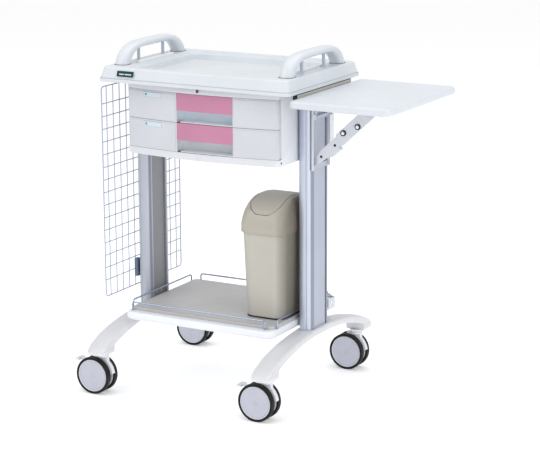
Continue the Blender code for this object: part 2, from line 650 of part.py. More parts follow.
def side_shelf():
    shelf = empty("side_shelf", (HINGE[0], 0, HINGE[1]), ROOT)
    half_x = (BOARD_X[1] - BOARD_X[0]) / 2
    centre_x = (BOARD_X[1] + BOARD_X[0]) / 2
    low, high = BOARD_Z
    levels = [(half_x - 0.006, BOARD_HALF_Y - 0.006, 0.012, low),
              (half_x - 0.0015, BOARD_HALF_Y - 0.0015, 0.016, low + 0.002),
              (half_x, BOARD_HALF_Y, 0.018, low + 0.006),
              (half_x, BOARD_HALF_Y, 0.018, high - 0.006),
              (half_x - 0.0015, BOARD_HALF_Y - 0.0015, 0.016, high - 0.002),
              (half_x - 0.006, BOARD_HALF_Y - 0.006, 0.012, high)]
    add("side_shelf_board", stack("side_shelf_board", levels, x=centre_x), WHITE, parent=shelf, smooth=40)
    near, far = BRACKET_Y[0] + 0.0030, BRACKET_Y[1] - 0.0030
    leaf = add("side_shelf_leaf", box("side_shelf_leaf", (HINGE[0] - 0.0020, near, low - GAP - 0.0025),
                                      (0.3220, far, low - GAP)), STEEL, parent=shelf)
    ear = [(HINGE[0] + HINGE_EAR, low - 0.001), (HINGE[0] - HINGE_EAR, low - 0.001)]
    ear += arc(HINGE[0], HINGE[1], HINGE_EAR, 180, 360, 8)
    for place in (near, far - 0.0020):
        join(leaf, outline_mesh("hinge_ear", [ear], 0.0020), at=(0, place + 0.0010, 0), turn=FACING_FRONT)
    cut(leaf, cylinder("hinge_hole", HINGE_R + BORE_GAP, 0.200, 12), at=(HINGE[0], 0, HINGE[1]),
        turn=FACING_FRONT)

    top_x, top_z = STRUT_TOP
    plate_thick, arm_thick = 0.0030, 0.0130
    strut_back = STRUT_FRONT + plate_thick + GAP + arm_thick
    base = box("side_shelf_clevis", (top_x - 0.026, STRUT_FRONT - 0.010, low - GAP - 0.0025),
               (top_x + 0.026, strut_back + 0.010, low - GAP))
    clevis = add("side_shelf_clevis", base, STEEL, parent=shelf)
    ear = arc(top_x, top_z, 0.011, 180, 360, 6)
    ear = [(top_x - 0.016, low - 0.001)] + ear + [(top_x + 0.016, low - 0.001)]
    for place in (STRUT_FRONT - GAP - 0.00125, strut_back + GAP + 0.00125):
        join(clevis, outline_mesh("ear", [ear], 0.0025), at=(0, place, 0), turn=FACING_FRONT)
    join(clevis, cylinder("pivot_pin", 0.0040, 0.0190, 12), at=(top_x, (STRUT_FRONT + strut_back) / 2, top_z),
         turn=FACING_FRONT)

    strut = empty("strut", (top_x, 0, top_z), shelf)
    outer = [along_strut(s, t) for s, t in arc(0, 0, STRUT_HALF, 90, 270, 8)]
    square_end = ((0.112, -STRUT_HALF), (0.117, -0.0120), (0.117, 0.0120), (0.112, STRUT_HALF))
    outer += [along_strut(s, t) for s, t in square_end]
    plate = add("strut_plate", outline_mesh("strut_plate", [outer], plate_thick), STEEL,
                at=(0, STRUT_FRONT + plate_thick / 2, 0), turn=FACING_FRONT, parent=strut)
    length = hypot(STRUT_FOOT[0] - top_x, STRUT_FOOT[1] - top_z)
    inner = [(s, t) for s, t in arc(0, 0, 0.0130, 90, 270, 6)]
    inner += [(length - 0.030, -0.0130), (length - 0.012, -0.0080)]
    inner += arc(length, 0, 0.0080, -90, 90, 6)
    inner += [(length - 0.022, 0.0100)] + arc(length - 0.046, 0.0110, 0.0090, 30, 90, 3)
    inner += [(length - 0.076, 0.0200), (length - 0.076, 0.0120)]
    inner += [(length - 0.084, 0.0120), (length - 0.084, 0.0150)]
    flat = [along_strut(s, t) for s, t in inner]
    arm = add("strut_arm", outline_mesh("strut_arm", [flat], arm_thick), STEEL,
              at=(0, strut_back - arm_thick / 2, 0), turn=FACING_FRONT, parent=strut)
    for piece in (plate, arm):
        cut(piece, cylinder("pivot_hole", 0.0040 + BORE_GAP, 0.200, 12),
            at=(top_x, 0, top_z), turn=FACING_FRONT)
    for name, s, t in (("strut_screw_lower", 0.093, -0.0065), ("strut_screw_upper", 0.0500, 0.0065)):
        x, z = along_strut(s, t)
        head = cylinder(name, 0.0078, 0.0045, 16)
        screw = add(name, head, CHROME, at=(x, STRUT_FRONT - GAP - 0.00225, z),
                    turn=FACING_FRONT, parent=strut)
        bevel(screw, 0.0010, 1)


def bin_levels(offset=0.0):
    """The dome's rings, moved inwards by an offset."""
    shape = [(0.0670, 0.1040, 0.031, HOOD_BOTTOM), (0.0672, 0.1042, 0.031, 0.468),
             (0.0660, 0.1000, 0.031, 0.484), (0.0630, 0.0880, 0.030, 0.505),
             (0.0590, 0.0700, 0.028, 0.5215), (0.0530, 0.0480, 0.025, 0.5325),
             (0.0430, 0.0250, 0.020, 0.5375)]
    rings = []
    for index, (half_x, half_y, radius, z) in enumerate(shape):
        drop = offset * min(1.0, index / 4) if index else 0.001 * (offset > 0)
        rings.append((half_x - offset, half_y - offset, max(radius - offset, 0.006), z - drop))
    return rings


def swing_bin():
    bin_body = empty("bin", (BIN_X, BIN_Y, BIN_BOTTOM), ROOT)
    wall = 0.0025
    body = [(0.0540, 0.0880, 0.024, BIN_BOTTOM), (0.0560, 0.0900, 0.027, BIN_BOTTOM + 0.003),
            (0.0630, 0.1000, 0.029, BIN_TOP), (0.0630 - wall, 0.1000 - wall, 0.0265, BIN_TOP),
            (0.0560 - wall, 0.0900 - wall, 0.0245, BIN_BOTTOM + 0.003)]
    add("bin_body", stack("bin_body", body, BIN_X, BIN_Y, 3), BIN, parent=bin_body, smooth=40)
    hood = add("bin_hood", stack("bin_hood", bin_levels(), BIN_X, BIN_Y), BIN, parent=bin_body, smooth=40)
    cut(hood, stack("hood_inside", bin_levels(wall), BIN_X, BIN_Y))
    window = rounded_rect(0.0460, 0.0860, 0.024, 4, BIN_X, BIN_Y)
    cut(hood, outline_mesh("window", [window], 0.200), at=(0, 0, 0.600))
    pivot = empty("bin_flap_pivot", (BIN_X, BIN_Y, FLAP_PIVOT_Z), bin_body)
    flap = add("bin_flap", stack("bin_flap", bin_levels(), BIN_X, BIN_Y), BIN, parent=pivot, smooth=40)
    cut(flap, stack("flap_inside", bin_levels(wall), BIN_X, BIN_Y))
    inside = rounded_rect(0.0445, 0.0840, 0.0225, 4, BIN_X, BIN_Y)
    keeper = add("flap_outline", outline_mesh("flap_outline", [inside], 0.200), None, at=(0, 0, 0.600))
    boolean(flap, keeper, "INTERSECT")


tray()
handle(-1, "handle_left")
handle(1, "handle_right")
cabinet()
drawer("drawer_lower", 0)
drawer("drawer_upper", 1)
lock()
for side, where in ((-1, "left"), (1, "right")):
    column(side, "column_" + where)
    leg(side, "leg_" + where)
    caster(side, -1, "caster_front_" + where, True)
    caster(side, 1, "caster_back_" + where, False)
lower_shelf()
guard_rails()
wire_grid()
pole_socket()
hinge_bar()
strut_bracket()
side_shelf()
swing_bin()
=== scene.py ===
"""The medication cart's looks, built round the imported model.

Lengths are metres. Shapes are drawn from the point on the floor midway between the columns, as the
CAD is, and every piece is then moved by CX, which is where the CAD puts that point.
"""

from math import atan2, cos, hypot, pi, radians, sin, sqrt, tan

import bmesh
import bpy
from mathutils import Euler, Matrix, Vector


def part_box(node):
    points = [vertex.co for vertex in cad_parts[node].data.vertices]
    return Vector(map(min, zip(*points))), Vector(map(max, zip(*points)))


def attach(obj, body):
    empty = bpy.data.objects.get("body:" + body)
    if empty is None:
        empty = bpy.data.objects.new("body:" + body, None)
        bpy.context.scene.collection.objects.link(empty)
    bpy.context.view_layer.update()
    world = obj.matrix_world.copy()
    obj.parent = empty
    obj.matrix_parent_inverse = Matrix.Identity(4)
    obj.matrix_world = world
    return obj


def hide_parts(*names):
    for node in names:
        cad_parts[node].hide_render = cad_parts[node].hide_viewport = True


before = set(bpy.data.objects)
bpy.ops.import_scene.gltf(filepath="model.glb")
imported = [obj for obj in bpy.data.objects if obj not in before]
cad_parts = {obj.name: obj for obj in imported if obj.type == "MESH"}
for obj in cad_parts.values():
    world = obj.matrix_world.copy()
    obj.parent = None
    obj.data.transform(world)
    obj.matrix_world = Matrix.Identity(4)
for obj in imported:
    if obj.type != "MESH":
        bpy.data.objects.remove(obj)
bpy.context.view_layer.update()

CX = (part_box("column_left")[0][0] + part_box("column_right")[1][0]) / 2
GAP = 0.0003


def cad(node):
    """The CAD node's lowest and highest corners, from the midpoint between the columns."""
    low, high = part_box(node)
    return Vector((low[0] - CX, low[1], low[2])), Vector((high[0] - CX, high[1], high[2]))


# ---------------------------------------------------------------- materials

def new_node(tree, kind, inputs=None, **settings):
    made = tree.nodes.new(kind)
    for name, value in settings.items():
        setattr(made, name, value)
    for name, value in (inputs or {}).items():
        made.inputs[name].default_value = value
    return made


def noise(tree, coords, scale, detail, stretch=None, rough=0.55):
    made = new_node(tree, "ShaderNodeTexNoise", {"Scale": scale, "Detail": detail, "Roughness": rough})
    if stretch:
        mapping = new_node(tree, "ShaderNodeMapping")
        mapping.inputs["Scale"].default_value = stretch
        tree.links.new(coords, mapping.inputs["Vector"])
        coords = mapping.outputs["Vector"]
    tree.links.new(coords, made.inputs["Vector"])
    return made.outputs["Fac"]


def ranged(tree, value, low, high, out_low, out_high):
    made = new_node(tree, "ShaderNodeMapRange", {"From Min": low, "From Max": high,
                                                 "To Min": out_low, "To Max": out_high})
    tree.links.new(value, made.inputs["Value"])
    return made.outputs["Result"]


def mixed(tree, factor, first, second):
    """A colour between two, each a colour or a socket."""
    made = new_node(tree, "ShaderNodeMix", data_type="RGBA")
    tree.links.new(factor, made.inputs["Factor"])
    sockets = [s for s in made.inputs if s.type == "RGBA"]
    for socket, value in zip(sockets, (first, second)):
        if isinstance(value, bpy.types.NodeSocket):
            tree.links.new(value, socket)
        else:
            socket.default_value = (*value, 1.0)
    return [s for s in made.outputs if s.type == "RGBA"][0]


def shaded_side(paint, colour):
    """Mixes painted shade into the side that faces along +X, where the column stands against it and keeps the
    light off.
    """
    tree = paint.node_tree
    shader = tree.nodes["Principled BSDF"]
    base = shader.inputs["Base Color"].links[0].from_socket
    split = new_node(tree, "ShaderNodeSeparateXYZ")
    tree.links.new(new_node(tree, "ShaderNodeTexCoord").outputs["Normal"], split.inputs[0])
    side = ranged(tree, split.outputs["X"], 0.25, 1.0, 0.0, 0.85)
    tree.links.new(mixed(tree, side, base, colour), shader.inputs["Base Color"])


def shade(colour, factor):
    return tuple(min(1.0, c * factor) for c in colour)


def material(name, colour, rough, metallic=0.0, vary=0.05, grain=1500.0, bump=0.1, coat=0.0,
             stretch=None, edge=None, dirt=None, rough_vary=0.06, specular=0.5):
    """A surface with cloudy colour, fine grain, uneven gloss, and a lighter colour on sharp edges or dust if
    asked for.
    """
    made = bpy.data.materials.new(name)
    made.use_nodes = True
    tree = made.node_tree
    shader = tree.nodes["Principled BSDF"]
    shader.inputs["Metallic"].default_value = metallic
    shader.inputs["Coat Weight"].default_value = coat
    shader.inputs["Coat Roughness"].default_value = 0.12
    shader.inputs["Specular IOR Level"].default_value = specular
    coords = new_node(tree, "ShaderNodeTexCoord").outputs["Object"]
    cloud = ranged(tree, noise(tree, coords, 7.0, 4.0), 0.3, 0.7, 0.0, 1.0)
    base = mixed(tree, cloud, shade(colour, 1 - vary), shade(colour, 1 + vary * 0.6))
    fleck = ranged(tree, noise(tree, coords, 160.0, 4.0, stretch), 0.35, 0.65, 0.0, 0.35)
    base = mixed(tree, fleck, base, shade(colour, 1 - vary * 1.6))
    if edge:
        # The edge colour is mixed in where the surface is most pointed, that is on sharp edges.
        pointed = new_node(tree, "ShaderNodeNewGeometry").outputs["Pointiness"]
        sharp_edge_tone = ranged(tree, pointed, 0.515, 0.56, 0.0, 0.6)
        base = mixed(tree, sharp_edge_tone, base, edge)
    if dirt:
        patch = ranged(tree, noise(tree, coords, 38.0, 6.0), 0.48, 0.72, 0.0, 0.55)
        base = mixed(tree, patch, base, dirt)
    tree.links.new(base, shader.inputs["Base Color"])
    uneven = noise(tree, coords, 45.0, 5.0, stretch)
    tree.links.new(ranged(tree, uneven, 0.3, 0.7, rough - rough_vary, rough + rough_vary),
                   shader.inputs["Roughness"])
    fine = noise(tree, coords, grain, 2.0, stretch, 0.5)
    relief = new_node(tree, "ShaderNodeBump", {"Strength": bump, "Distance": 0.0002})
    tree.links.new(fine, relief.inputs["Height"])
    tree.links.new(relief.outputs["Normal"], shader.inputs["Normal"])
    return made


UP_GRAIN = (1.0, 1.0, 0.02)
WHITE = material("white_moulding", (0.61, 0.645, 0.685), 0.34, grain=1600, coat=0.15)
BOARD = material("board_laminate", (0.62, 0.655, 0.7), 0.4, grain=2400, bump=0.12)
CABINET = material("cabinet_paint", (0.57, 0.58, 0.62), 0.38, grain=1900, edge=(0.8, 0.82, 0.86))
DRAWER = material("drawer_front", (0.57, 0.585, 0.63), 0.36, grain=1700)
GRIP = material("grip_moulding", (0.58, 0.66, 0.74), 0.42, bump=0.12)
PINK = material("pink_panel", (0.5, 0.205, 0.32), 0.42, bump=0.16, vary=0.07)
DRAWER_BOX = material("drawer_box", (0.6, 0.66, 0.7), 0.45, grain=1200, bump=0.14)
ALUMINIUM = material("anodised_aluminium", (0.54, 0.58, 0.68), 0.38, 0.55, grain=900, stretch=UP_GRAIN,
                     vary=0.04, rough_vary=0.08)
WEB = material("column_web", (0.47, 0.5, 0.585), 0.42, 0.4, grain=900, stretch=UP_GRAIN)
DARK_WEB = material("column_web_shaded", (0.29, 0.295, 0.315), 0.5, 0.3, grain=900, stretch=UP_GRAIN)
STEEL = material("plated_steel", (0.5, 0.52, 0.58), 0.36, 0.8, grain=1200, bump=0.14, edge=(0.75, 0.77,
                 0.82), vary=0.09)
STRUT_STEEL = material("strut_steel", (0.6, 0.62, 0.68), 0.36, 0.35, grain=1200, bump=0.14, vary=0.06)
NOSE_SHADE = material("column_painted_shade", (0.27, 0.3, 0.37), 0.45, 0.3, grain=900, stretch=UP_GRAIN)
# A darker copy of the aluminium for the left column: painted shade.
ALUMINIUM_PAINTED_SHADE = material("anodised_aluminium_painted_shade", (0.46, 0.49, 0.55), 0.42, 0.45, grain=900,
                          stretch=UP_GRAIN, rough_vary=0.08)
HINGE_STEEL = material("hinge_steel", (0.5, 0.48, 0.44), 0.42, 0.2, grain=1200, bump=0.14, vary=0.08)
POST = material("post_steel", (0.44, 0.48, 0.54), 0.34, 0.2, grain=1200, bump=0.08)
LEDGE = material("recess_moulding", (0.6, 0.635, 0.66), 0.4, grain=1600)
WALL = material("recess_wall", (0.58, 0.62, 0.66), 0.36, grain=1600)
LIP_LINE = material("lip_line", (0.4, 0.43, 0.47), 0.4, grain=1600)
# Near black: painted shade at the drawers' seams and in the keyhole, and the pads under the handles' feet.
PAINTED_SHADE_AND_PADS = material("painted_shade_and_pads", (0.11, 0.1, 0.1), 0.55, grain=900, bump=0.2)
RAIL = material("rail_chrome", (0.36, 0.42, 0.53), 0.2, 1.0, grain=1800, bump=0.04, rough_vary=0.04)
# Near black, for dark parts, and for painted shade in gaps, slots and recesses.
DARK = material("dark_gap", (0.02, 0.022, 0.028), 0.6, grain=900, bump=0.2, specular=0.2)
CHROME = material("chrome", (0.72, 0.76, 0.84), 0.1, 1.0, grain=1800, bump=0.03, vary=0.03, rough_vary=0.04)
LEG_PAINT = material("leg_paint", (0.64, 0.645, 0.67), 0.36, grain=2100, bump=0.12, edge=(0.82, 0.83, 0.86))
PLATE_GREY = material("shelf_plate", (0.5, 0.49, 0.495), 0.42, grain=2300, bump=0.14, vary=0.06)
BUMPER = material("shelf_bumper", (0.8, 0.82, 0.87), 0.4, bump=0.12)
WIRE = material("grid_wire", (0.36, 0.41, 0.54), 0.36, bump=0.08)
# Dark blue-grey for the grid's clips: painted shade, as they sit in shadow beside the column.
CLIP_PAINTED_SHADE = material("clip_plastic", (0.1, 0.15, 0.22), 0.45, grain=1300, bump=0.15)
BIN = material("bin_plastic", (0.47, 0.455, 0.405), 0.44, grain=1300, bump=0.2)
BIN_DOME = material("bin_dome_plastic", (0.41, 0.385, 0.33), 0.4, grain=1300, bump=0.18)
# The bin's side towards the column gets painted shade.
shaded_side(BIN, (0.16, 0.145, 0.12))
shaded_side(BIN_DOME, (0.16, 0.135, 0.105))
HOUSING = material("caster_housing", (0.72, 0.73, 0.77), 0.38, bump=0.12)
DISC = material("wheel_disc", (0.49, 0.5, 0.58), 0.4, bump=0.14, dirt=(0.43, 0.43, 0.49))
DISC_RIM = material("wheel_disc_rim", (0.68, 0.74, 0.78), 0.36)
TYRE = material("tyre", (0.008, 0.007, 0.007), 0.6, grain=1100, bump=0.25, dirt=(0.018, 0.016, 0.015),
                rough_vary=0.1, specular=0.25)
TEAL = material("badge", (0.003, 0.045, 0.05), 0.5, bump=0.06, specular=0.2)
TEAL_RIM = material("badge_rim", (0.66, 0.72, 0.74), 0.4, bump=0.06)
LABEL_RIM = material("label_rim", (0.3, 0.38, 0.42), 0.5, bump=0.06)
DOT = material("label_dot", (0.06, 0.36, 0.28), 0.5, bump=0.06)
LABEL = material("label_card", (0.58, 0.66, 0.72), 0.5, grain=2000)
FLOOR = material("studio_floor", (0.93, 0.93, 0.93), 0.85, grain=60, bump=0.02, vary=0.01)
FLOOR_INPUTS = FLOOR.node_tree.nodes["Principled BSDF"].inputs
FLOOR_INPUTS["Emission Color"].default_value = (1.0, 1.0, 1.0, 1.0)
FLOOR_INPUTS["Emission Strength"].default_value = 0.22


# ---------------------------------------------------------------- geometry

def mesh_of(bm, name):
    mesh = bpy.data.meshes.new(name)
    bmesh.ops.recalc_face_normals(bm, faces=bm.faces)
    bm.to_mesh(mesh)
    bm.free()
    return mesh


def put(mesh, at=(0, 0, 0), turn=(0, 0, 0)):
    """The mesh turned, then moved."""
    mesh.transform(Matrix.Translation(at) @ Euler(turn).to_matrix().to_4x4())
    return mesh


def box(low, high):
    bm = bmesh.new()
    bmesh.ops.create_cube(bm, size=1.0)
    for vert in bm.verts:
        vert.co = [(a + b) / 2 + c * (b - a) for a, b, c in zip(low, high, vert.co)]
    return mesh_of(bm, "box")


def cylinder(radius, length, segments=48):
    bm = bmesh.new()
    bmesh.ops.create_cone(bm, cap_ends=True, segments=segments, radius1=radius, radius2=radius, depth=length)
    return mesh_of(bm, "cylinder")


def arc(x, y, radius, start, end, steps):
    angles = [radians(start + (end - start) * i / steps) for i in range(steps + 1)]
    return [(x + radius * cos(a), y + radius * sin(a)) for a in angles]


def rounded_rect(half_x, half_y, radius, steps=8, x=0.0, y=0.0):
    points = []
    for side_x, side_y, start in ((1, 1, 0), (-1, 1, 90), (-1, -1, 180), (1, -1, 270)):
        points += arc(x + side_x * (half_x - radius), y + side_y * (half_y - radius),
                      radius, start, start + 90, steps)
    return points


def filleted(points, steps=6):
    """A closed outline through (x, y, corner radius) points."""
    loop = []
    count = len(points)
    for i in range(count):
        x, y, radius = points[i]
        here = Vector((x, y))
        before = Vector(points[i - 1][:2]) - here
        after = Vector(points[(i + 1) % count][:2]) - here
        if radius <= 0:
            loop.append((x, y))
            continue
        half = before.angle(after) / 2
        reach = min(radius / max(0.05, abs(tan(half))), before.length * 0.49, after.length * 0.49)
        start, end = here + before.normalized() * reach, here + after.normalized() * reach
        for k in range(steps + 1):
            t = k / steps
            spot = start * (1 - t) ** 2 + here * 2 * t * (1 - t) + end * t**2
            loop.append((spot.x, spot.y))
    return loop


def tidy_mesh(mesh):
    bm = bmesh.new()
    bm.from_mesh(mesh)
    bmesh.ops.remove_doubles(bm, verts=bm.verts, dist=0.00001)
    bmesh.ops.recalc_face_normals(bm, faces=bm.faces)
    bm.to_mesh(mesh)
    bm.free()
    return mesh


def evaluated(obj):
    graph = bpy.context.evaluated_depsgraph_get()
    mesh = bpy.data.meshes.new_from_object(obj.evaluated_get(graph))
    bpy.data.objects.remove(obj)
    return mesh


def holder(data):
    made = bpy.data.objects.new("holder", data)
    bpy.context.scene.collection.objects.link(made)
    return made


def outline(loops, thickness):
    """A flat outline, with any further loops as holes, with half the thickness each way along local Z."""
    curve = bpy.data.curves.new("outline", "CURVE")
    curve.dimensions = "2D"
    curve.fill_mode = "BOTH"
    curve.extrude = thickness / 2
    for loop in loops:
        spline = curve.splines.new("POLY")
        spline.points.add(len(loop) - 1)
        spline.use_cyclic_u = True
        for point, (x, y) in zip(spline.points, loop):
            point.co = (x, y, 0, 1)
    return tidy_mesh(evaluated(holder(curve)))


def wires(runs, radius, resolution=4, closed=False):
    """Round wires along several runs of points."""
    curve = bpy.data.curves.new("wires", "CURVE")
    curve.dimensions = "3D"
    curve.bevel_depth = radius
    curve.bevel_resolution = resolution
    curve.use_fill_caps = True
    for points in runs:
        spline = curve.splines.new("POLY")
        spline.points.add(len(points) - 1)
        spline.use_cyclic_u = closed
        for point, place in zip(spline.points, points):
            point.co = (*place, 1)
    return tidy_mesh(evaluated(holder(curve)))


def loft(rings, caps=True):
    bm = bmesh.new()
    rows = [[bm.verts.new(point) for point in ring] for ring in rings]
    count = len(rows[0])
    for lower, upper in zip(rows, rows[1:]):
        for i in range(count):
            j = (i + 1) % count
            bm.faces.new((lower[i], lower[j], upper[j], upper[i]))
    if caps:
        bm.faces.new(rows[0][::-1])
        bm.faces.new(rows[-1])
    return mesh_of(bm, "loft")


def stack(levels, x=0.0, y=0.0, steps=10):
    """A loft through rounded rectangles, each (half_x, half_y, corner radius, z)."""
    return loft([[(px, py, z) for px, py in rounded_rect(hx, hy, r, steps, x, y)]
                 for hx, hy, r, z in levels])


def turned(profile, steps=64, closed=False):
    """A profile of (radius, height) points, turned about local Z."""
    mesh = bpy.data.meshes.new("profile")
    edges = [(i, i + 1) for i in range(len(profile) - 1)]
    if closed:
        edges.append((len(profile) - 1, 0))
    mesh.from_pydata([(radius, 0, height) for radius, height in profile], edges, [])
    spun = holder(mesh)
    screw = spun.modifiers.new("screw", "SCREW")
    screw.steps = screw.render_steps = steps
    screw.use_merge_vertices = True
    screw.merge_threshold = 0.00001
    return tidy_mesh(evaluated(spun))


def merged(*meshes):
    """Several meshes in one."""
    bm = bmesh.new()
    for mesh in meshes:
        bm.from_mesh(mesh)
    made = bpy.data.meshes.new("merged")
    bm.to_mesh(made)
    bm.free()
    return made


def boolean(body, mesh, operation):
    """Adds a boolean with another mesh to a holder, and gives that mesh's own holder."""
    helper = holder(mesh)
    modifier = body.modifiers.new("boolean", "BOOLEAN")
    modifier.operation = operation
    modifier.solver = "EXACT"
    modifier.object = helper
    return helper


def solved(body, helpers):
    made = evaluated(body)
    for helper in helpers:
        bpy.data.objects.remove(helper)
    return made


def combined(target, cuts=(), joins=()):
    """The target with meshes joined on and others cut away."""
    body = holder(target)
    helpers = [boolean(body, mesh, "UNION") for mesh in joins]
    helpers += [boolean(body, mesh, "DIFFERENCE") for mesh in cuts]
    return solved(body, helpers)


def common(mesh, within):
    """The part of a mesh inside another."""
    body = holder(mesh)
    return solved(body, [boolean(body, within, "INTERSECT")])


def softened(mesh, width, segments=3, angle=35):
    """The mesh with its edges rounded."""
    body = holder(mesh)
    modifier = body.modifiers.new("bevel", "BEVEL")
    modifier.width = width
    modifier.segments = segments
    modifier.limit_method = "ANGLE"
    modifier.angle_limit = radians(angle)
    return evaluated(body)


def smooth_path(points, steps=6):
    """Points on a Catmull-Rom curve through the given ones."""
    spots = [Vector(p) for p in points]
    spots = [spots[0] * 2 - spots[1]] + spots + [spots[-1] * 2 - spots[-2]]
    path = []
    for i in range(1, len(spots) - 2):
        a, b, c, d = spots[i - 1:i + 3]
        for k in range(steps):
            t = k / steps
            path.append(0.5 * (2 * b + (c - a) * t + (2 * a - 5 * b + 4 * c - d) * t**2
                               + (3 * b - a - 3 * c + d) * t**3))
    path.append(spots[-2])
    return [tuple(p) for p in path]


ALONG_Y = (pi / 2, 0, 0)             # local X and Y become world X and Z
ALONG_X = (pi / 2, 0, pi / 2)        # local X and Y become world Y and Z
SEAM = 0.0012                        # width of the rounded edges beside the drawers' gaps


def prism(loop, thickness, at=(0, 0, 0), turn=(0, 0, 0)):
    """A flat outline with half the thickness each way, turned, then moved."""
    return put(outline([loop], thickness), at, turn)


def mm(rows, *origin):
    """Rows of millimetres as metres, each number counted from its origin, or from 0 where none is given."""
    start = origin + (0, 0, 0, 0)
    return [tuple(o + v / 1000 for o, v in zip(start, row)) for row in rows]


def inset(x, y, z, rows):
    """Levels for a stack from rows of millimetres: how far inside x and y, corner radius, height over z."""
    return [(x - gap / 1000, y - gap / 1000, corner / 1000, z + rise / 1000) for gap, corner, rise in rows]


def flipped(points):
    return [(x, -y) for x, y in points]


def piece(name, mesh, paint, body, replaces=(), smooth=35, weighted=True):
    """A finished piece of the cart, in its place."""
    mesh.name = name
    made = bpy.data.objects.new(name, mesh)
    bpy.context.scene.collection.objects.link(made)
    mesh.materials.clear()
    mesh.materials.append(paint)
    mesh.shade_smooth()
    mesh.set_sharp_from_angle(angle=radians(smooth))
    if weighted:
        normals = made.modifiers.new("normals", "WEIGHTED_NORMAL")
        normals.keep_sharp = True
    made.location = (CX, 0, 0)
    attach(made, body)
    if replaces:
        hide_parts(*replaces)
    return made


def repaint(obj, paint, wanted):
    """Gives a second material to the faces whose middle and normal are as wanted."""
    obj.data.materials.append(paint)
    index = len(obj.data.materials) - 1
    for face in obj.data.polygons:
        if wanted(face.center, face.normal):
            face.material_index = index


# ---------------------------------------------------------------- tray and handles

def tray():
    low, high = cad("tray")
    x, y, bottom, rim = high.x, high.y, low.z, high.z
    levels = inset(x, y, bottom, [(14, 8, 13), (11, 8, 0.6), (10.5, 8, 0), (2, 12, 0), (0.8, 13, 0.3),
                                  (0, 14, 1.6), (0, 14, 9.2), (0.6, 13.7, 10), (2.2, 13.5, 10.8)])
    levels += inset(x, y, rim, [(8, 14.5, -4.4), (8.8, 14, -2.4), (10.2, 13, -0.8), (12.2, 12.5, -0.1),
                                (14, 12, 0)])
    levels += mm([(216, 172.5, 42, 0), (214.5, 171, 41, -0.3), (213.5, 170, 40, -1.4), (207.8, 164.6, 35, -6),
                  (206.2, 163, 34, -6.9), (204.6, 161.4, 33, -7), (200, 157, 30, -7),
                  (198.8, 155.8, 29, -7.3), (197.8, 154.8, 28, -8.6), (193.5, 150.5, 25, -20.5), (192, 149,
                                                                                                  24, -21.7),
                  (189.5, 146.5, 22, -22)], 0, 0, 0, rim)
    top = piece("tray_top", stack(levels, steps=14), WHITE, "frame", ("tray",), 50)

    def in_recess(c, half_x, half_y):
        return abs(c.x) < half_x and abs(c.y) < half_y and c.z > bottom + 0.014

    # The recess's floor and walls are painted a little darker than the rim: painted shade in the recess.
    repaint(top, LEDGE, lambda c, n: in_recess(c, 0.2075, 0.1645) and n.z > 0.8)
    repaint(top, WALL, lambda c, n: in_recess(c, 0.2155, 0.172) and n.z < 0.8)
    # A darker band at the crease above the tray's lip: painted shade.
    repaint(top, LIP_LINE, lambda c, n: bottom + 0.0091 < c.z < bottom + 0.0109 and n.z > -0.5
            and (abs(c.x) > x - 0.011 or abs(c.y) > y - 0.011))
    low, high = cad("tray_frame")
    slab = stack([(high.x, high.y, 0.012, z) for z in (low.z, high.z)])
    piece("tray_subframe", softened(slab, 0.0015), ALUMINIUM, "frame", ("tray_frame",))
    for side, name in ((-1, "left"), (1, "right")):
        levels = inset(0.0055, 0.088, rim, [(0, 5, -0.5), (0, 5, 3), (0.7, 4.5, 3.8), (2, 3.5, 4.2)])
        piece("tray_curb_" + name, stack(levels, x=side * 0.229), BUMPER, "frame")


def badge():
    low, high = cad("badge_plate")
    middle = (low + high) / 2
    tray_low, tray_high = cad("tray")
    tilt = (-atan2(0.009, tray_high.z - tray_low.z - 0.012), 0, 0)
    half_x, half_z = 0.0265, 0.0085
    rim = prism(rounded_rect(half_x, half_z, 0.0035), 0.0016, turn=ALONG_Y)
    piece("badge_border", put(softened(rim, 0.0004, 2), middle, tilt), TEAL_RIM, "frame",
          ("badge_plate",))
    face = prism(rounded_rect(half_x - 0.0008, half_z - 0.0008, 0.0029), 0.002, turn=ALONG_Y)
    piece("badge_face", put(softened(face, 0.0003, 2), middle, tilt), TEAL, "frame")
    bars = []
    for place, half in ((-0.011, 0.0075), (0.0085, 0.01)):
        bar = prism(rounded_rect(half, 0.0013, 0.0012, 4), 0.0024, (place, 0, -0.001), ALONG_Y)
        bars.append(put(bar, middle, tilt))
    piece("badge_bars", merged(*bars), TEAL_RIM, "frame")


# A handle's upper and lower edge as (y, z) from its middle outwards. The last z, 0, stands for its base.
ARCH_OUTER = mm([(0, 919.9), (40, 919.8), (72, 918.2), (98, 914.5), (122, 905.5), (139, 892), (149, 879),
                 (156, 0)])
ARCH_INNER = mm([(0, 900.5), (34, 900.4), (62, 899.8), (80, 897.2), (95, 891), (107, 882), (114, 873.5),
                 (120, 0)])


def signed_power(value, power):
    return abs(value) ** power * (1 if value > 0 else -1)


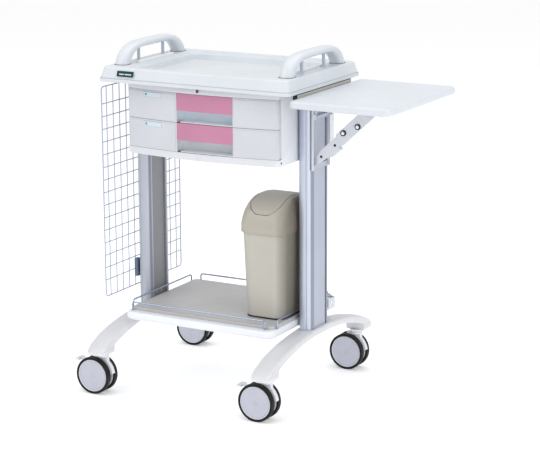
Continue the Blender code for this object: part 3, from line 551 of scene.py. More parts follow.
def handle(name):
    """An oval grip along an arch that thickens into its feet, with two posts and a thin dark pad under each
    foot.
    """
    low, high = cad(name)
    base, middle, half = low.z, (low.x + high.x) / 2, (high.x - low.x) / 2
    outer, inner = [[Vector(p) for p in smooth_path([(y, z or base, 0) for y, z in curve], 6)]
                    for curve in (ARCH_OUTER, ARCH_INNER)]
    rings = []
    for i in range(1 - len(outer), len(outer)):
        over, under = outer[abs(i)], inner[abs(i)]
        centre, reach = (over + under) / 2, (over - under) / 2
        ring = []
        for k in range(40):
            angle = 2 * pi * k / 40
            spot = centre + reach * signed_power(sin(angle), 0.8)
            across = half * signed_power(cos(angle), 0.8)
            ring.append((middle + across, -spot.x if i < 0 else spot.x, spot.y))
        rings.append(ring)
    piece(name + "_grip", loft(rings), WHITE, "frame", (name,), 60, False)
    post = [(0.0, 0.9025), (0.0042, 0.9025)] + mm([(4.2, 6), (4.6, 3), (6.2, 1.2), (6.2, -0.2), (0, -0.2)],
                                                  0, base)
    posts = [put(turned(post, 24), (middle, place, 0)) for place in (-0.06, 0.06)]
    piece(name + "_posts", merged(*posts), POST, "frame")
    levels = inset(half + 0.0004, 0.0184, base, [(0, 12, -0.2), (0, 12, 0.8), (0.8, 11, 1)])
    pads = [stack(levels, middle, place) for place in (-0.138, 0.138)]
    piece(name + "_foot_pads", merged(*pads), PAINTED_SHADE_AND_PADS, "frame")


# ---------------------------------------------------------------- cabinet and drawers

CAB_LOW, CAB_HIGH = cad("cabinet")
FRONT_LOW, FRONT_HIGH = cad("drawer_lower_front")
FRONT_HALF, FRONT_BACK = FRONT_HIGH.x, FRONT_HIGH.y
BOW = 0.022
BOW_RADIUS = (FRONT_HALF**2 + BOW**2) / (2 * BOW)
BAY_LOW, BAY_HIGH = 0.652, 0.806


def bow_y(x):
    """How far forward the fronts bulge at x."""
    return FRONT_LOW.y + BOW_RADIUS - sqrt(BOW_RADIUS**2 - x**2)


def bowed(back, setback, left, right, steps=40):
    """An outline with a straight back whose front follows the fronts' bulge."""
    spots = [left + (right - left) * i / steps for i in range(steps + 1)]
    return [(x, bow_y(x) + setback) for x in spots] + [(right, back), (left, back)]


def bowed_plate(x0, x1, z0, z1, proud, thick, corner=0.0, steps=24):
    """A plate that follows the fronts' bulge, standing proud of it, with rounded corners."""
    turns = [corner * (1 - cos(radians(15 * k))) for k in range(7)] if corner else [0.0]
    stations = [x0 + turn for turn in turns]
    stations += [x0 + corner + (x1 - x0 - 2 * corner) * i / steps for i in range(1, steps)]
    stations += [x1 - turn for turn in reversed(turns)]
    rings = []
    for x in stations:
        beyond = max(0.0, corner - min(x - x0, x1 - x))
        drop = min(corner - sqrt(max(0.0, corner**2 - beyond**2)), corner * 0.98)
        front = bow_y(x) - proud
        rings.append([(x, front, z0 + drop), (x, front, z1 - drop),
                      (x, front + thick, z1 - drop), (x, front + thick, z0 + drop)])
    return loft(rings)


def cabinet():
    body = prism(bowed(CAB_HIGH.y, 0, -CAB_HIGH.x, CAB_HIGH.x), CAB_HIGH.z - CAB_LOW.z,
                 (0, 0, (CAB_LOW.z + CAB_HIGH.z) / 2))
    inner = CAB_HIGH.x - 0.006
    bay = box((-inner, -0.3, BAY_LOW), (inner, CAB_HIGH.y - 0.006, BAY_HIGH))
    mouth = box((-0.3, -0.3, BAY_LOW), (0.3, FRONT_BACK, BAY_HIGH))
    keyhole = put(cylinder(0.0048, 0.04), (0, bow_y(0), 0.815), ALONG_Y)
    shell = softened(combined(body, [bay, mouth, keyhole]), SEAM, 2, 40)
    shown = piece("cabinet_shell", shell, CABINET, "frame", ("cabinet",), 40, False)
    # Painted shade: the rounded edges round the drawer bay's mouth are painted near black, for the gaps'
    # shade.
    repaint(shown, PAINTED_SHADE_AND_PADS, lambda c, n: BAY_LOW - SEAM < c.z < BAY_HIGH + SEAM and c.y < FRONT_BACK - 0.004
            and abs(n.y) < 0.97 and abs(n.x) < 0.9)
    plug = mm([(0, 0.3), (2.2, 0.3), (3, 0.1), (3, -1)])
    plugs = [put(turned(plug, 24), (side * CAB_HIGH.x, -0.1335, 0.6425), (0, side * pi / 2, 0))
             for side in (-1, 1)]
    piece("cabinet_plugs", merged(*plugs), DARK, "frame")
    plan = bowed(FRONT_BACK - 0.001, 0.003, 0.001 - FRONT_HALF, FRONT_HALF - 0.001)
    gaps = [prism(plan, 0.0008, (0, 0, z))
            for z in (BAY_LOW + 0.0002, (BAY_LOW + BAY_HIGH) / 2, BAY_HIGH - 0.0006)]
    piece("cabinet_shadow_gaps", merged(*gaps), DARK, "frame")


def drawer(name):
    low, high = cad(name + "_front")
    panel_low, panel_high = cad(name + "_panel")
    left, right, grip_top = panel_low.x, panel_high.x, panel_low.z
    body = prism(bowed(FRONT_BACK, 0, -FRONT_HALF, FRONT_HALF), high.z - low.z, (0, 0, (low.z + high.z) / 2))
    plan = arc(left + 0.024, -0.162, 0.024, 180, 90, 14) + [(right, -0.138), (right, -0.2), (left, -0.2)]
    recess = prism(plan, grip_top - low.z + 0.002, (0, 0, (low.z + grip_top) / 2 - 0.001))
    rebate = prism(bowed(-0.2, 0.0033, left - GAP, right + GAP), high.z - grip_top + 0.004,
                   (0, 0, (grip_top + high.z) / 2 + 0.002 - GAP))
    front = softened(combined(body, [recess, rebate]), SEAM, 2, 40)
    shown = piece(name + "_face", front, DRAWER, name, (name + "_front",), 40, False)
    # Painted shade: the rounded edges at the front's top, bottom and ends are painted near black, for the
    # gaps' shade.
    repaint(shown, PAINTED_SHADE_AND_PADS, lambda c, n: c.y < FRONT_BACK - 0.002 and (
        0.2 < abs(n.z) < 0.95 and (c.z > high.z - SEAM or c.z < low.z + SEAM)
        or 0.3 < abs(n.x) < 0.95 and abs(c.x) > FRONT_HALF - 0.0013))
    # The lower drawer's grip recess takes the darker recess tone: painted shade.
    grip = GRIP if name == "drawer_upper" else LEDGE
    repaint(shown, grip, lambda c, n: left - 0.0005 < c.x < right + 0.0005 and c.z < grip_top - 0.001
            and bow_y(c.x) + 0.0018 < c.y < -0.1365 and n.y < -0.3)
    borders = [softened(bowed_plate(x0, x1, low.z + 0.0045, high.z - 0.0045, 0.0008, 0.003, 0.004),
                        0.0005, 2, 40)
               for x0, x1 in ((0.0045 - FRONT_HALF, left - 0.0045), (right + 0.0045, FRONT_HALF - 0.0045))]
    piece(name + "_borders", merged(*borders), DRAWER, name, smooth=40)
    panel = bowed_plate(left, right, grip_top, high.z, 0.0, 0.003, 0.0, 30)
    piece(name + "_colour_panel", softened(panel, 0.0009, 3, 40), PINK, name,
          (name + "_panel",), 40)
    shelf = prism(bowed(-0.1385, 0.0015, left + 0.01, right - 0.001), 0.0022, (0, 0, low.z + 0.0013))
    piece(name + "_grip_floor", softened(shelf, 0.0006, 2), CABINET, name)
    box_low, box_high = cad(name + "_box")
    half_x, half_y, mid_y = box_high.x, (box_high.y - box_low.y) / 2, (box_high.y + box_low.y) / 2
    floor = box_low.z
    levels = inset(half_x, half_y, floor, [(3, 4, 0), (0.8, 6, 0.8), (0, 7, 3)])
    levels += inset(half_x, half_y, box_high.z, [(0, 7, -1.2), (0.5, 6.5, -0.3), (1.25, 6, 0), (2, 5.5, -0.3),
                                                 (2.5, 5, -1.2)])
    levels += inset(half_x, half_y, floor, [(2.5, 5, 6.5), (4, 4, 3.5), (6.5, 3, 2.5)])
    piece(name + "_tray", stack(levels, y=mid_y, steps=6), DRAWER_BOX, name,
          (name + "_box",), 50)
    rib = rounded_rect(half_x * 0.92, 0.0012, 0.001, 4)
    ribs = [softened(prism(rib, 0.0016, (0, mid_y + k * 0.032, floor + 0.0033)), 0.0004, 2)
            for k in range(-3, 4)]
    piece(name + "_ribs", merged(*ribs), DRAWER_BOX, name)
    z = high.z - 0.0172
    # The label's darker rim is painted shade round the raised white label.
    for part, paint, slot, extent, steps, soft in (
            ("_label_edge", LABEL_RIM, "drawer_front",
             (-0.1687, -0.1113, z - 0.0007, z + 0.0125, 0.001, 0.002, 0.0018), 12, 0.0002),
            ("_label", LABEL, "drawer_front",
             (-0.168, -0.112, z, z + 0.0118, 0.0013, 0.002, 0.0015), 12, 0.0003),
            ("_label_dot", DOT, "badge",
             (-0.165, -0.1585, z + 0.0028, z + 0.009, 0.0017, 0.0012, 0.003), 8, 0.0002)):
        piece(name + part, softened(bowed_plate(*extent, steps), soft, 2, 40), paint, name, smooth=40)


def lock():
    low, high = cad("lock_cylinder")
    x, z, radius = (low.x + high.x) / 2, (low.z + high.z) / 2, (high.x - low.x) / 2
    profile = [(0.0, high.y), (radius, high.y), (radius, low.y + 0.0006), (radius - 0.0005, low.y + 0.0001),
               (radius * 0.55, low.y), (radius * 0.45, low.y + 0.0004), (0.0, low.y + 0.0004)]
    barrel = put(turned(flipped(profile), 48), (x, 0, z), ALONG_Y)
    slot = box((-0.0004, low.y - 0.001, z - 0.0019), (0.0004, low.y + 0.006, z + 0.0019))
    # The barrel is painted near black so the keyhole reads as a dark hole: painted shade.
    piece("lock_barrel", combined(barrel, [slot]), PAINTED_SHADE_AND_PADS, "lock", ("lock_cylinder",), 30)
    ring = mm([(2.8, -1), (2.8, 0.2), (2.2, 1.3), (1, 1.6), (0.4, 1.2), (0.4, 0)], radius)
    piece("lock_ring", put(turned(ring, 48), (0, bow_y(0), z), ALONG_Y), CHROME, "frame")


def runners():
    for side in ("left", "right"):
        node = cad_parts["runner_" + side]
        node.data.materials.clear()
        node.data.materials.append(STEEL)


# ---------------------------------------------------------------- columns, legs, casters

def column(side, name):
    """An extrusion with a rounded nose at each end, a slotted web outside and a grooved one inside."""
    low, high = cad(name)
    inner, outer = sorted((abs(low.x), abs(high.x)))
    middle, half = (inner + outer) / 2, (outer - inner) / 2
    depth = 0.02
    nose_y = low.y + depth
    web_out, web_in = outer - 0.0025, inner + 0.006

    def nose(angles, less=0.0):
        return [(middle + (half - less) * cos(radians(a)), nose_y + (depth - less) * sin(radians(a)))
                for a in angles]

    def turn_of(c):
        return atan2((c.y - nose_y) / depth, (abs(c.x) - middle) / half) * 180 / pi

    front = nose(range(-180, -73, 6)) + nose((-73, -69), 0.0009) + nose(range(-66, 0, 6))
    front.append((outer, nose_y - 0.0004))
    jamb = mm([(0, 0.2), (-0.6, 0.8), (-6.5, 0.8), (-6.5, 3.4), (-2.5, 3.4)], outer, nose_y)
    outside = list(jamb)
    first, slots = nose_y + 0.0065, 13
    for k in range(slots + 1):
        outside += mm([(0, -0.4), (-0.5, -0.2), (-0.5, 0.2), (0, 0.4)], web_out,
                      first - 2 * first * k / slots)
    outside += flipped(jamb[::-1])
    jamb = mm([(0, 0.2), (0.6, 0.8), (8.5, 0.8), (8.5, 3), (6, 3)], inner, nose_y)
    inside = flipped(jamb)
    for k in range(7):
        inside += mm([(0, 0.4), (0.6, 0.2), (0.6, -0.2), (0, -0.4)], web_in, 0.021 - k * 0.007)
    inside += jamb[::-1]
    loop = [(side * x, y) for x, y in front + outside + flipped(front[::-1]) + inside]
    shown = piece(name + "_extrusion", prism(loop, high.z - low.z, (0, 0, (low.z + high.z) / 2)),
                  ALUMINIUM if side > 0 else ALUMINIUM_PAINTED_SHADE, "frame", (name,), 25, False)
    # Painted shade: bands on the nose, in its shallow groove, towards its outer side and near its inner side,
    # and the right column's rear nose on its outer half.
    repaint(shown, NOSE_SHADE, lambda c, n: abs(n.z) < 0.5 and c.y < nose_y + 0.001 and (
        -75 < turn_of(c) < -68 or -34 < turn_of(c) < 0 or -166 < turn_of(c) < -144))
    repaint(shown, NOSE_SHADE, lambda c, n: abs(n.z) < 0.5 and c.y > -nose_y - 0.001
            and abs(c.x) > middle + half * 0.5 and side > 0)
    repaint(shown, WEB, lambda c, n: abs(c.x) > outer - 0.0032 and abs(c.y) < -nose_y - 0.0034
            and abs(n.z) < 0.5)
    repaint(shown, DARK_WEB, lambda c, n: abs(c.x) < inner + 0.0072 and abs(c.y) < -nose_y - 0.0028
            and abs(n.z) < 0.5)
    # Painted shade: the bottoms of the slots beside the noses, outside and inside, are painted near black.
    repaint(shown, DARK, lambda c, n: (outer - 0.007 < abs(c.x) < outer - 0.005
                                       or inner + 0.006 < abs(c.x) < inner + 0.009)
            and abs(n.z) < 0.5 and -nose_y - 0.004 < abs(c.y) < -nose_y - 0.0004)
    head = mm([(3, -0.4), (3, 0.6), (2.6, 1.2), (1.7, 1.2), (1.4, 0.4), (0, 0.4)])
    screws = [put(turned(head, 20), (side * web_in, place, z), (0, -side * pi / 2, 0))
              for z in (low.z + 0.02, low.z + 0.034, high.z - 0.16) for place in (-0.012, 0.012)]
    piece(name + "_screws", merged(*screws), STEEL, "frame")


# A leg's top and underside as (y, z), and half of the places where its section is drawn.
LEG_TOP = mm([(0, 188.2), (60, 188), (85, 186.6), (105, 184.6), (140, 180), (175, 174), (207, 167),
              (235, 159), (259, 150.5), (280, 140), (291, 133.5), (299, 126.5)])
LEG_UNDER = mm([(0, 172), (40, 171.5), (75, 169.8), (103, 167), (131, 162.6), (158, 157), (183, 151.2),
                (205, 145), (225, 138.5), (242.5, 132.5)])
LEG_STATIONS = [y / 1000 for y in (
    0, 20, 40, 55, 62, 75, 90, 105, 120, 135, 150, 165, 180, 195, 208, 220, 231, 238.5, 242.4, 243, 244,
    252, 262, 272, 281, 286.5, 290.5, 293.5, 295.5, 297, 298.2, 298.8)]


def level_at(points, y):
    """Height of a polyline of (y, z) points at y."""
    if y <= points[0][0]:
        return points[0][1]
    for (y0, z0), (y1, z1) in zip(points, points[1:]):
        if y <= y1:
            return z0 + (z1 - z0) * (y - y0) / (y1 - y0)
    return points[-1][1]


def leg(side, name):
    """An arched beam whose section has a crowned top, with a rounded foot at each end."""
    low, high = cad(name)
    centre, half_width = (low.x + high.x) / 2, (high.x - low.x) / 2
    foot, foot_y, lip_y = 0.114, 0.2427, 0.2435
    round_y, rounding = high.y - 0.014, 0.014
    top, under = [[spot[:2] for spot in smooth_path([(*point, 0) for point in points], 4)]
                  for points in (LEG_TOP, LEG_UNDER)]
    rings = []
    for y in [-y for y in LEG_STATIONS[:0:-1]] + LEG_STATIONS:
        away = abs(y)
        crown = level_at(top, away)
        bottom = level_at(under, away) if away < foot_y else foot + 0.0012 if away < lip_y else foot
        lip = 0.0013 if away >= lip_y else 0.0
        wide = half_width
        if away > round_y:
            wide -= rounding * (1 - sqrt(max(0.0, 1 - ((away - round_y) / rounding) ** 2)))
        width = wide - lip
        fall = 0.0022 * min(1.0, max(0.0, away - 0.052) / 0.006)
        edge = min(0.0062, (crown - bottom) * 0.42)
        toe = min(0.0026, (crown - bottom) * 0.2)
        step = bottom + min(0.0105, (crown - bottom) * 0.4)
        ring = arc(width - edge, crown - fall - edge, edge, 0, 90, 6)
        ring += [((width - edge) * (1 - k / 4), crown - fall * (1 - k / 4) ** 2) for k in range(1, 8)]
        ring += arc(edge - width, crown - fall - edge, edge, 90, 180, 6)
        ring += [(-width, step + 0.0006), (-wide, step - 0.0008)]
        ring += (arc(toe - wide, bottom + toe, toe, 180, 270, 3)
                 + arc(wide - toe, bottom + toe, toe, 270, 360, 3))
        ring += [(wide, step - 0.0008), (width, step + 0.0006)]
        rings.append([(centre + x, y, z) for x, z in ring])
    piece(name + "_arch", loft(rings), LEG_PAINT, "frame", (name,), 45)
    rim = mm([(20, 116), (20, 111.2), (19.5, 109.8), (18, 109.1), (8.5, 109.1), (7.5, 109.3), (7.5, 116)])
    bosses = [put(turned(rim, 48), (side * 0.247, end * 0.254, 0)) for end in (-1, 1)]
    piece(name + "_bosses", merged(*bosses), LEG_PAINT, "frame")


def caster(name, braked):
    core_low, core_high = cad(name + "_wheel_core")
    tyre_low, tyre_high = cad(name + "_tyre_front")
    cx, cz = (tyre_low.x + tyre_high.x) / 2, (tyre_low.z + tyre_high.z) / 2
    cy = (core_low.y + core_high.y) / 2
    middle = (cx, cy, cz)
    radius, hub = (tyre_high.z - tyre_low.z) / 2, (core_high.z - core_low.z) / 2
    near, out = sorted((abs(tyre_low.y - cy), abs(tyre_high.y - cy)))
    tread_mid, shoulder = (near + out) / 2, 0.0028
    ring = mm([(0.3, -1.2), (0.8, -0.2), (1.6, 0)], hub, out) + [(radius - 0.003, out - 0.0002)]
    ring += arc(radius - shoulder, out - 0.0031, shoulder, 80, 0, 5)
    ring += [(radius, tread_mid + 0.0012), (radius, tread_mid - 0.0012)]
    ring += arc(radius - shoulder, near + 0.0031, shoulder, 0, -90, 6)
    ring += mm([(1.2, 0.6), (0.3, 1.4)], hub, near)
    for face, where in ((1, "front"), (-1, "back")):
        tread = turned([(r, face * h) for r, h in ring], 96, closed=True)
        piece(name + "_tread_" + where, put(tread, middle, ALONG_Y), TYRE, name + "_wheel",
              (name + "_tyre_" + where,), 30)
    dish = mm([(0, -3.6), (3.6, -3.7), (4.6, -4.4), (6, -4.4), (6.8, -3.6), (18, -3)], 0, out)
    dish += mm([(-5.5, -2.1), (-4.5, -2.1), (-4, -2.6), (-3.4, -2.6), (-2.8, -1.6), (-1.8, -1), (-0.8, -1.6),
                (-0.3, -3)], hub, out)
    dish += mm([(-0.3, 0.8), (-1.5, 0)], hub, near) + mm([(10, 0), (4.2, -0.8)], 0, near)
    wheel = piece(name + "_disc", put(turned(dish + flipped(dish[::-1]), 96), middle, ALONG_Y), DISC,
                  name + "_wheel", (name + "_wheel_core",), 30)
    repaint(wheel, DISC_RIM, lambda c, n: hypot(c.x - cx, c.z - cz) > hub - 0.0031)
    stem_x = cx + 0.023
    hood = arc(0, 0, radius + 0.0033, 8, 96, 30) + arc(0, 0, 0.013, 150, 340, 20)
    axle_hole = put(cylinder(0.0043, 0.03, 32), middle, ALONG_Y)
    neck = box((stem_x - 0.013, cy - 0.0063, 0.088), (stem_x + 0.013, cy + 0.0063, 0.1025))
    collar = turned(mm([(0, 3), (13, 3), (14.3, 2), (14.3, -3), (13, -4.2), (0, -4.2)]), 40)
    stem = put(cylinder(0.0061, 0.04, 32), (stem_x, cy, 0.1215))
    body = combined(prism(hood, 0.0126, middle, ALONG_Y), [axle_hole],
                    [neck, put(collar, (stem_x, cy, 0.10435)), stem])
    piece(name + "_fork", softened(body, 0.0009, 3, 40), HOUSING, name,
          (name + "_housing",), 40)
    if not braked:
        return
    low, high = cad(name + "_pedal")
    px, pz = cx - 0.021, cz + 0.034
    lever = mm([(4, 0, 3), (0, 4, 2), (-26.5, 4.5, 1), (-26.5, 1, 1), (0, -4, 2)], px, pz)
    arm = prism(filleted(lever, 5), 0.0118, (0, cy, 0), ALONG_Y)
    paddle = [(low.x, pz + 0.0006, 0.002), (low.x + 0.002, high.z, 0.0012),
              (low.x + 0.0135, high.z - 0.0004, 0.001), (low.x + 0.0135, pz - 0.0002, 0.001)]
    pad = prism(filleted(paddle, 5), high.y - low.y, (0, cy, 0), ALONG_Y)
    grooves = [box((low.x + 0.0035 + k * 0.0028, low.y - 0.01, high.z - 0.0007),
                   (low.x + 0.0046 + k * 0.0028, high.y + 0.01, high.z + 0.01)) for k in range(3)]
    pedal = softened(combined(arm, grooves, [pad]), 0.0006, 2, 40)
    piece(name + "_brake_pedal", pedal, HOUSING, name + "_brake", (name + "_pedal",), 40)


# ---------------------------------------------------------------- shelf, rails, grid

def lower_shelf():
    low, high = cad("shelf_bumper")
    x, y, top = high.x, high.y, high.z
    levels = inset(x, y, low.z, [(9, 15, 0), (6, 17, 0.2), (3, 19, 1.4), (1, 21, 3.8), (0, 22, 7)])
    levels += inset(x, y, top, [(0, 22, -7.5), (0.6, 21.5, -4.6), (1.8, 20.5, -2.2), (3.5, 19, -0.6),
                                (5.5, 17.5, 0)])
    levels.append((x - 0.0068, y - 0.018, 0.014, top))
    piece("shelf_edging", stack(levels, steps=12), BUMPER, "frame", ("shelf_bumper",), 50)
    low, high = cad("shelf_plate")
    levels = [(high.x, high.y, 0.014, low.z)]
    levels += inset(high.x, high.y, high.z, [(0, 14, -2.4), (0.5, 13.5, -1), (1.8, 12.5, -0.2), (3.5, 11, 0)])
    piece("shelf_panel", stack(levels), PLATE_GREY, "frame", ("shelf_plate",), 50)


def guard_rail(name):
    """A wire bent down at both ends, with a small flange under each."""
    low, high = cad(name)
    radius, bend = 0.0022, 0.008
    x, y, _ = (low + high) / 2
    if high.x - low.x > high.y - low.y:
        ends = [Vector((low.x + radius, y, low.z)), Vector((high.x - radius, y, low.z))]
    else:
        ends = [Vector((x, low.y + radius, low.z)), Vector((x, high.y - radius, low.z))]
    start, end = ends
    inwards = (end - start).normalized() * bend
    points = [start]
    for corner, going in ((start, inwards), (end, -inwards)):
        middle = Vector((corner.x, corner.y, high.z - radius - bend)) + going
        turns = [middle - going * cos(radians(10 * i)) + Vector((0, 0, bend)) * sin(radians(10 * i))
                 for i in range(10)]
        points += turns if corner is start else turns[::-1]
    points.append(end)
    flange = turned(mm([(0, 0), (3.8, 0), (3.6, 1), (2.6, 1.8), (0, 1.8)]), 24)
    feet = [put(flange.copy(), corner) for corner in ends]
    piece(name + "_wire", merged(wires([points], radius, 6), *feet), RAIL, "frame",
          (name,), 40, False)


def wire_grid():
    low, high = cad("wire_grid")
    x, y, z = (low + high) / 2
    thick = (high.x - low.x) / 2
    y0, y1, z0, z1 = low.y + thick, high.y - thick, low.z + thick, high.z - thick
    edge = [(x, py, pz) for py, pz in rounded_rect((y1 - y0) / 2, (z1 - z0) / 2, 0.01, 9, y, z)]
    columns, rows, first_y, first_z = 11, 14, y0 + 0.0235, z0 + 0.045
    runs = []
    for i in range(columns + 1):
        place = first_y + 2 * (y - first_y) * i / columns
        runs.append([(x - 0.0003, place, z0), (x - 0.0003, place, z1)])
    for j in range(rows + 1):
        place = first_z + 2 * (z - first_z) * j / rows
        runs.append([(x + 0.0003, y0, place), (x + 0.0003, y1, place)])
    grid = merged(wires([edge], thick * 0.99, 4, True), wires(runs, 0.00132, 3))
    piece("grid_wires", grid, WIRE, "frame", ("wire_grid",), 40, False)
    cap = turned(mm([(0, 0.4), (3, 0.4), (3.4, -0.4), (5.2, -0.4), (5.8, -1.2), (5.8, -3)]), 32)
    for name in ("grid_clip_lower", "grid_clip_upper"):
        low, high = cad(name)
        caps = [put(cap.copy(), (low.x + 0.006, low.y + 0.0002, z), ALONG_Y)
                for z in (low.z + 0.012, high.z - 0.012)]
        clip = merged(softened(box(low, high), 0.0022, 4), *caps)
        piece(name + "_block", clip, CLIP_PAINTED_SHADE, "frame", (name,), 40)


def pole_socket():
    low, high = cad("pole_socket")
    x, y = 0.249, 0.084
    side = filleted([(low.y, high.z, 0.0005), (y, high.z, 0.0005), (y, low.z + 0.004, 0.002),
                     (y - 0.01, low.z, 0.003), (low.y, low.z, 0.001)], 5)
    ring = turned([(0.0, high.z), (0.014, high.z), (0.015, high.z - 0.0012), (0.015, low.z + 0.006),
                   (0.013, low.z + 0.001), (0.0, low.z)], 64)
    hole = put(cylinder(0.01, 0.03, 48), (x, y, 0.241))
    body = combined(prism(side, 0.025, (x, 0, 0), ALONG_X), [hole], [put(ring, (x, y, 0))])
    piece("pole_socket_body", softened(body, 0.0009, 3, 40), WHITE, "frame",
          ("pole_socket",), 40)
    knob = turned(mm([(0, 0), (4.2, 0), (4, 2.4), (3, 3.2), (0, 3.2)]), 32)
    piece("pole_socket_knob", put(knob, (0.2612, 0.068, 0.236), (0, pi / 2, 0)), BUMPER,
          "frame")


# ---------------------------------------------------------------- side shelf

HINGE_X, HINGE_Z = 0.275, 0.752
STRUT_X, STRUT_Z = 0.427, 0.7745                                   # the strut's upper pivot
STRUT_RUN, STRUT_RISE = 0.2755 - STRUT_X, 0.637 - STRUT_Z          # from there to its foot
STRUT_LENGTH = hypot(STRUT_RUN, STRUT_RISE)


def along_strut(points):
    """World (x, z) of points given as a distance from the strut's upper pivot and one across the strut."""
    return [(STRUT_X + (s * STRUT_RUN - t * STRUT_RISE) / STRUT_LENGTH,
             STRUT_Z + (s * STRUT_RISE + t * STRUT_RUN) / STRUT_LENGTH) for s, t in points]


def hinge_bar():
    low, high = cad("hinge_bar")
    bar = softened(box(low, high), 0.0016, 3)
    grooves = [box((low.x - 0.01, y - 0.0004, low.z - 0.01), (high.x - 0.004, y + 0.0004, high.z + 0.01))
               for y in (-0.12, -0.06, 0.0, 0.06, 0.12)]
    shown = piece("shelf_hinge_bar", combined(bar, grooves), HINGE_STEEL, "frame",
                  ("hinge_bar",), 40)
    # Painted shade and shadow: the top, under the tray, is painted near black, and so are the front end and
    # the grooves' walls.
    repaint(shown, DARK, lambda c, n: c.z > high.z - 0.0012 or c.y < low.y + 0.004 or abs(n.y) > 0.9)


def screw_head(radius, height):
    """A cross-head screw, its head towards local +Z."""
    head = turned([(0.0, height), (radius * 0.5, height), (radius * 0.86, height * 0.85),
                   (radius, height * 0.45), (radius, 0.0), (0.0, 0.0)], 40)
    long, short = radius * 0.5, radius * 0.09
    return combined(head, [box((-x, -y, height * 0.45), (x, y, height * 2))
                           for x, y in ((long, short), (short, long))])


def strut_bracket():
    low, high = cad("strut_bracket")
    back, lip, near, far, thick = low.x, 0.2725, low.y, high.y, 0.002
    mid_y = (near + far) / 2
    section = filleted([(back, near, 0.001), (lip, near, 0.0008), (lip, near + thick, 0.0008),
                        (back + thick, near + thick, 0.0006), (back + thick, far - thick, 0.0006),
                        (lip, far - thick, 0.0008), (lip, far, 0.0008), (back, far, 0.001)], 4)
    plate = prism(section, high.z - low.z, (0, 0, (low.z + high.z) / 2))
    opening = rounded_rect((far - near) / 2 - 0.005, (0.726 - low.z) / 2, 0.003, 6, mid_y,
                           (0.754 + low.z) / 2)
    lugs = [softened(box((back + 0.001, place, HINGE_Z - 0.007),
                         (HINGE_X + 0.005, place + thick, HINGE_Z + 0.007)), 0.0006, 2)
            for place in (near, far - thick)]
    pin = put(cylinder(0.003, far - near - thick, 32), (HINGE_X, mid_y, HINGE_Z), ALONG_Y)
    body = combined(plate, [prism(opening, 0.02, (back, 0, 0), ALONG_X)], lugs + [pin])
    shown = piece("column_bracket", softened(body, 0.0003, 2, 50), WHITE, "frame",
                  ("strut_bracket",), 40)
    repaint(shown, WEB, lambda c, n: near + 0.0075 < c.y < far - 0.0075)
    heads, screw_shades = [], []
    for z in (high.z - 0.012, low.z + 0.007):
        for y in (near + 0.007, far - 0.007):
            # Each screw head gets a thin near-black disc round it: painted shade of its recess.
            hole = turned(mm([(0, 0.4), (3.6, 0.4), (3.6, 0), (0, 0)]), 28)
            screw_shades.append(put(hole, (back + thick, y, z), (0, pi / 2, 0)))
            heads.append(put(screw_head(0.003, 0.0016), (back + thick, y, z), (0, pi / 2, 0)))
    piece("bracket_screw_shade", merged(*screw_shades), DARK, "frame")
    piece("bracket_screws", merged(*heads), STEEL, "frame")


def side_shelf():
    low, high = cad("side_shelf_board")
    half_x, half_y = (high.x - low.x) / 2, high.y
    levels = inset(half_x, half_y, low.z, [(8, 11, 0), (5, 13, 0.2), (2.2, 16, 1.4), (0.6, 17.5, 3.6),
                                           (0, 18, 6.5)])
    levels += inset(half_x, half_y, high.z, [(0, 18, -6), (0.6, 17.5, -3.4), (2.2, 16, -1.3),
                                             (4.5, 13.5, -0.2), (7, 12, 0)])
    piece("shelf_board", stack(levels, x=(high.x + low.x) / 2, steps=12), BOARD, "side_shelf",
          ("side_shelf_board",), 50)
    low, high = cad("side_shelf_leaf")
    near, far, top, reach = low.y, high.y, high.z, 0.0057
    leaf = box((HINGE_X - 0.002, near, top - 0.0025), (high.x, far, top))
    ear = ([(HINGE_X + reach, top - 0.0007), (HINGE_X - reach, top - 0.0007)]
           + arc(HINGE_X, HINGE_Z, reach, 180, 360, 24))
    ears = [prism(ear, 0.002, (0, place, 0), ALONG_Y) for place in (near + 0.001, far - 0.001)]
    hole = put(cylinder(0.0033, 0.2, 24), (HINGE_X, 0, HINGE_Z), ALONG_Y)
    piece("shelf_hinge_leaf", softened(combined(leaf, [hole], ears), 0.0004, 2, 50), STEEL, "side_shelf",
          ("side_shelf_leaf",), 40)
    heads = [put(screw_head(0.0034, 0.0016), (x, y, top - 0.0025), (pi, 0, 0))
             for x in (0.296, 0.313) for y in (near + 0.014, far - 0.014)]
    piece("shelf_hinge_screws", merged(*heads), STEEL, "side_shelf")


def strut_bar(name, node, loop, soft):
    """One of the strut's flat parts, with a hole for the upper pivot."""
    low, high = cad(node)
    bar = prism(along_strut(loop), high.y - low.y, (0, (low.y + high.y) / 2, 0), ALONG_Y)
    bar = combined(bar, [put(cylinder(0.0043, 0.2, 24), (STRUT_X, 0, STRUT_Z), ALONG_Y)])
    piece(name, softened(bar, soft, 3, 50), STRUT_STEEL, "strut", (node,), 40)


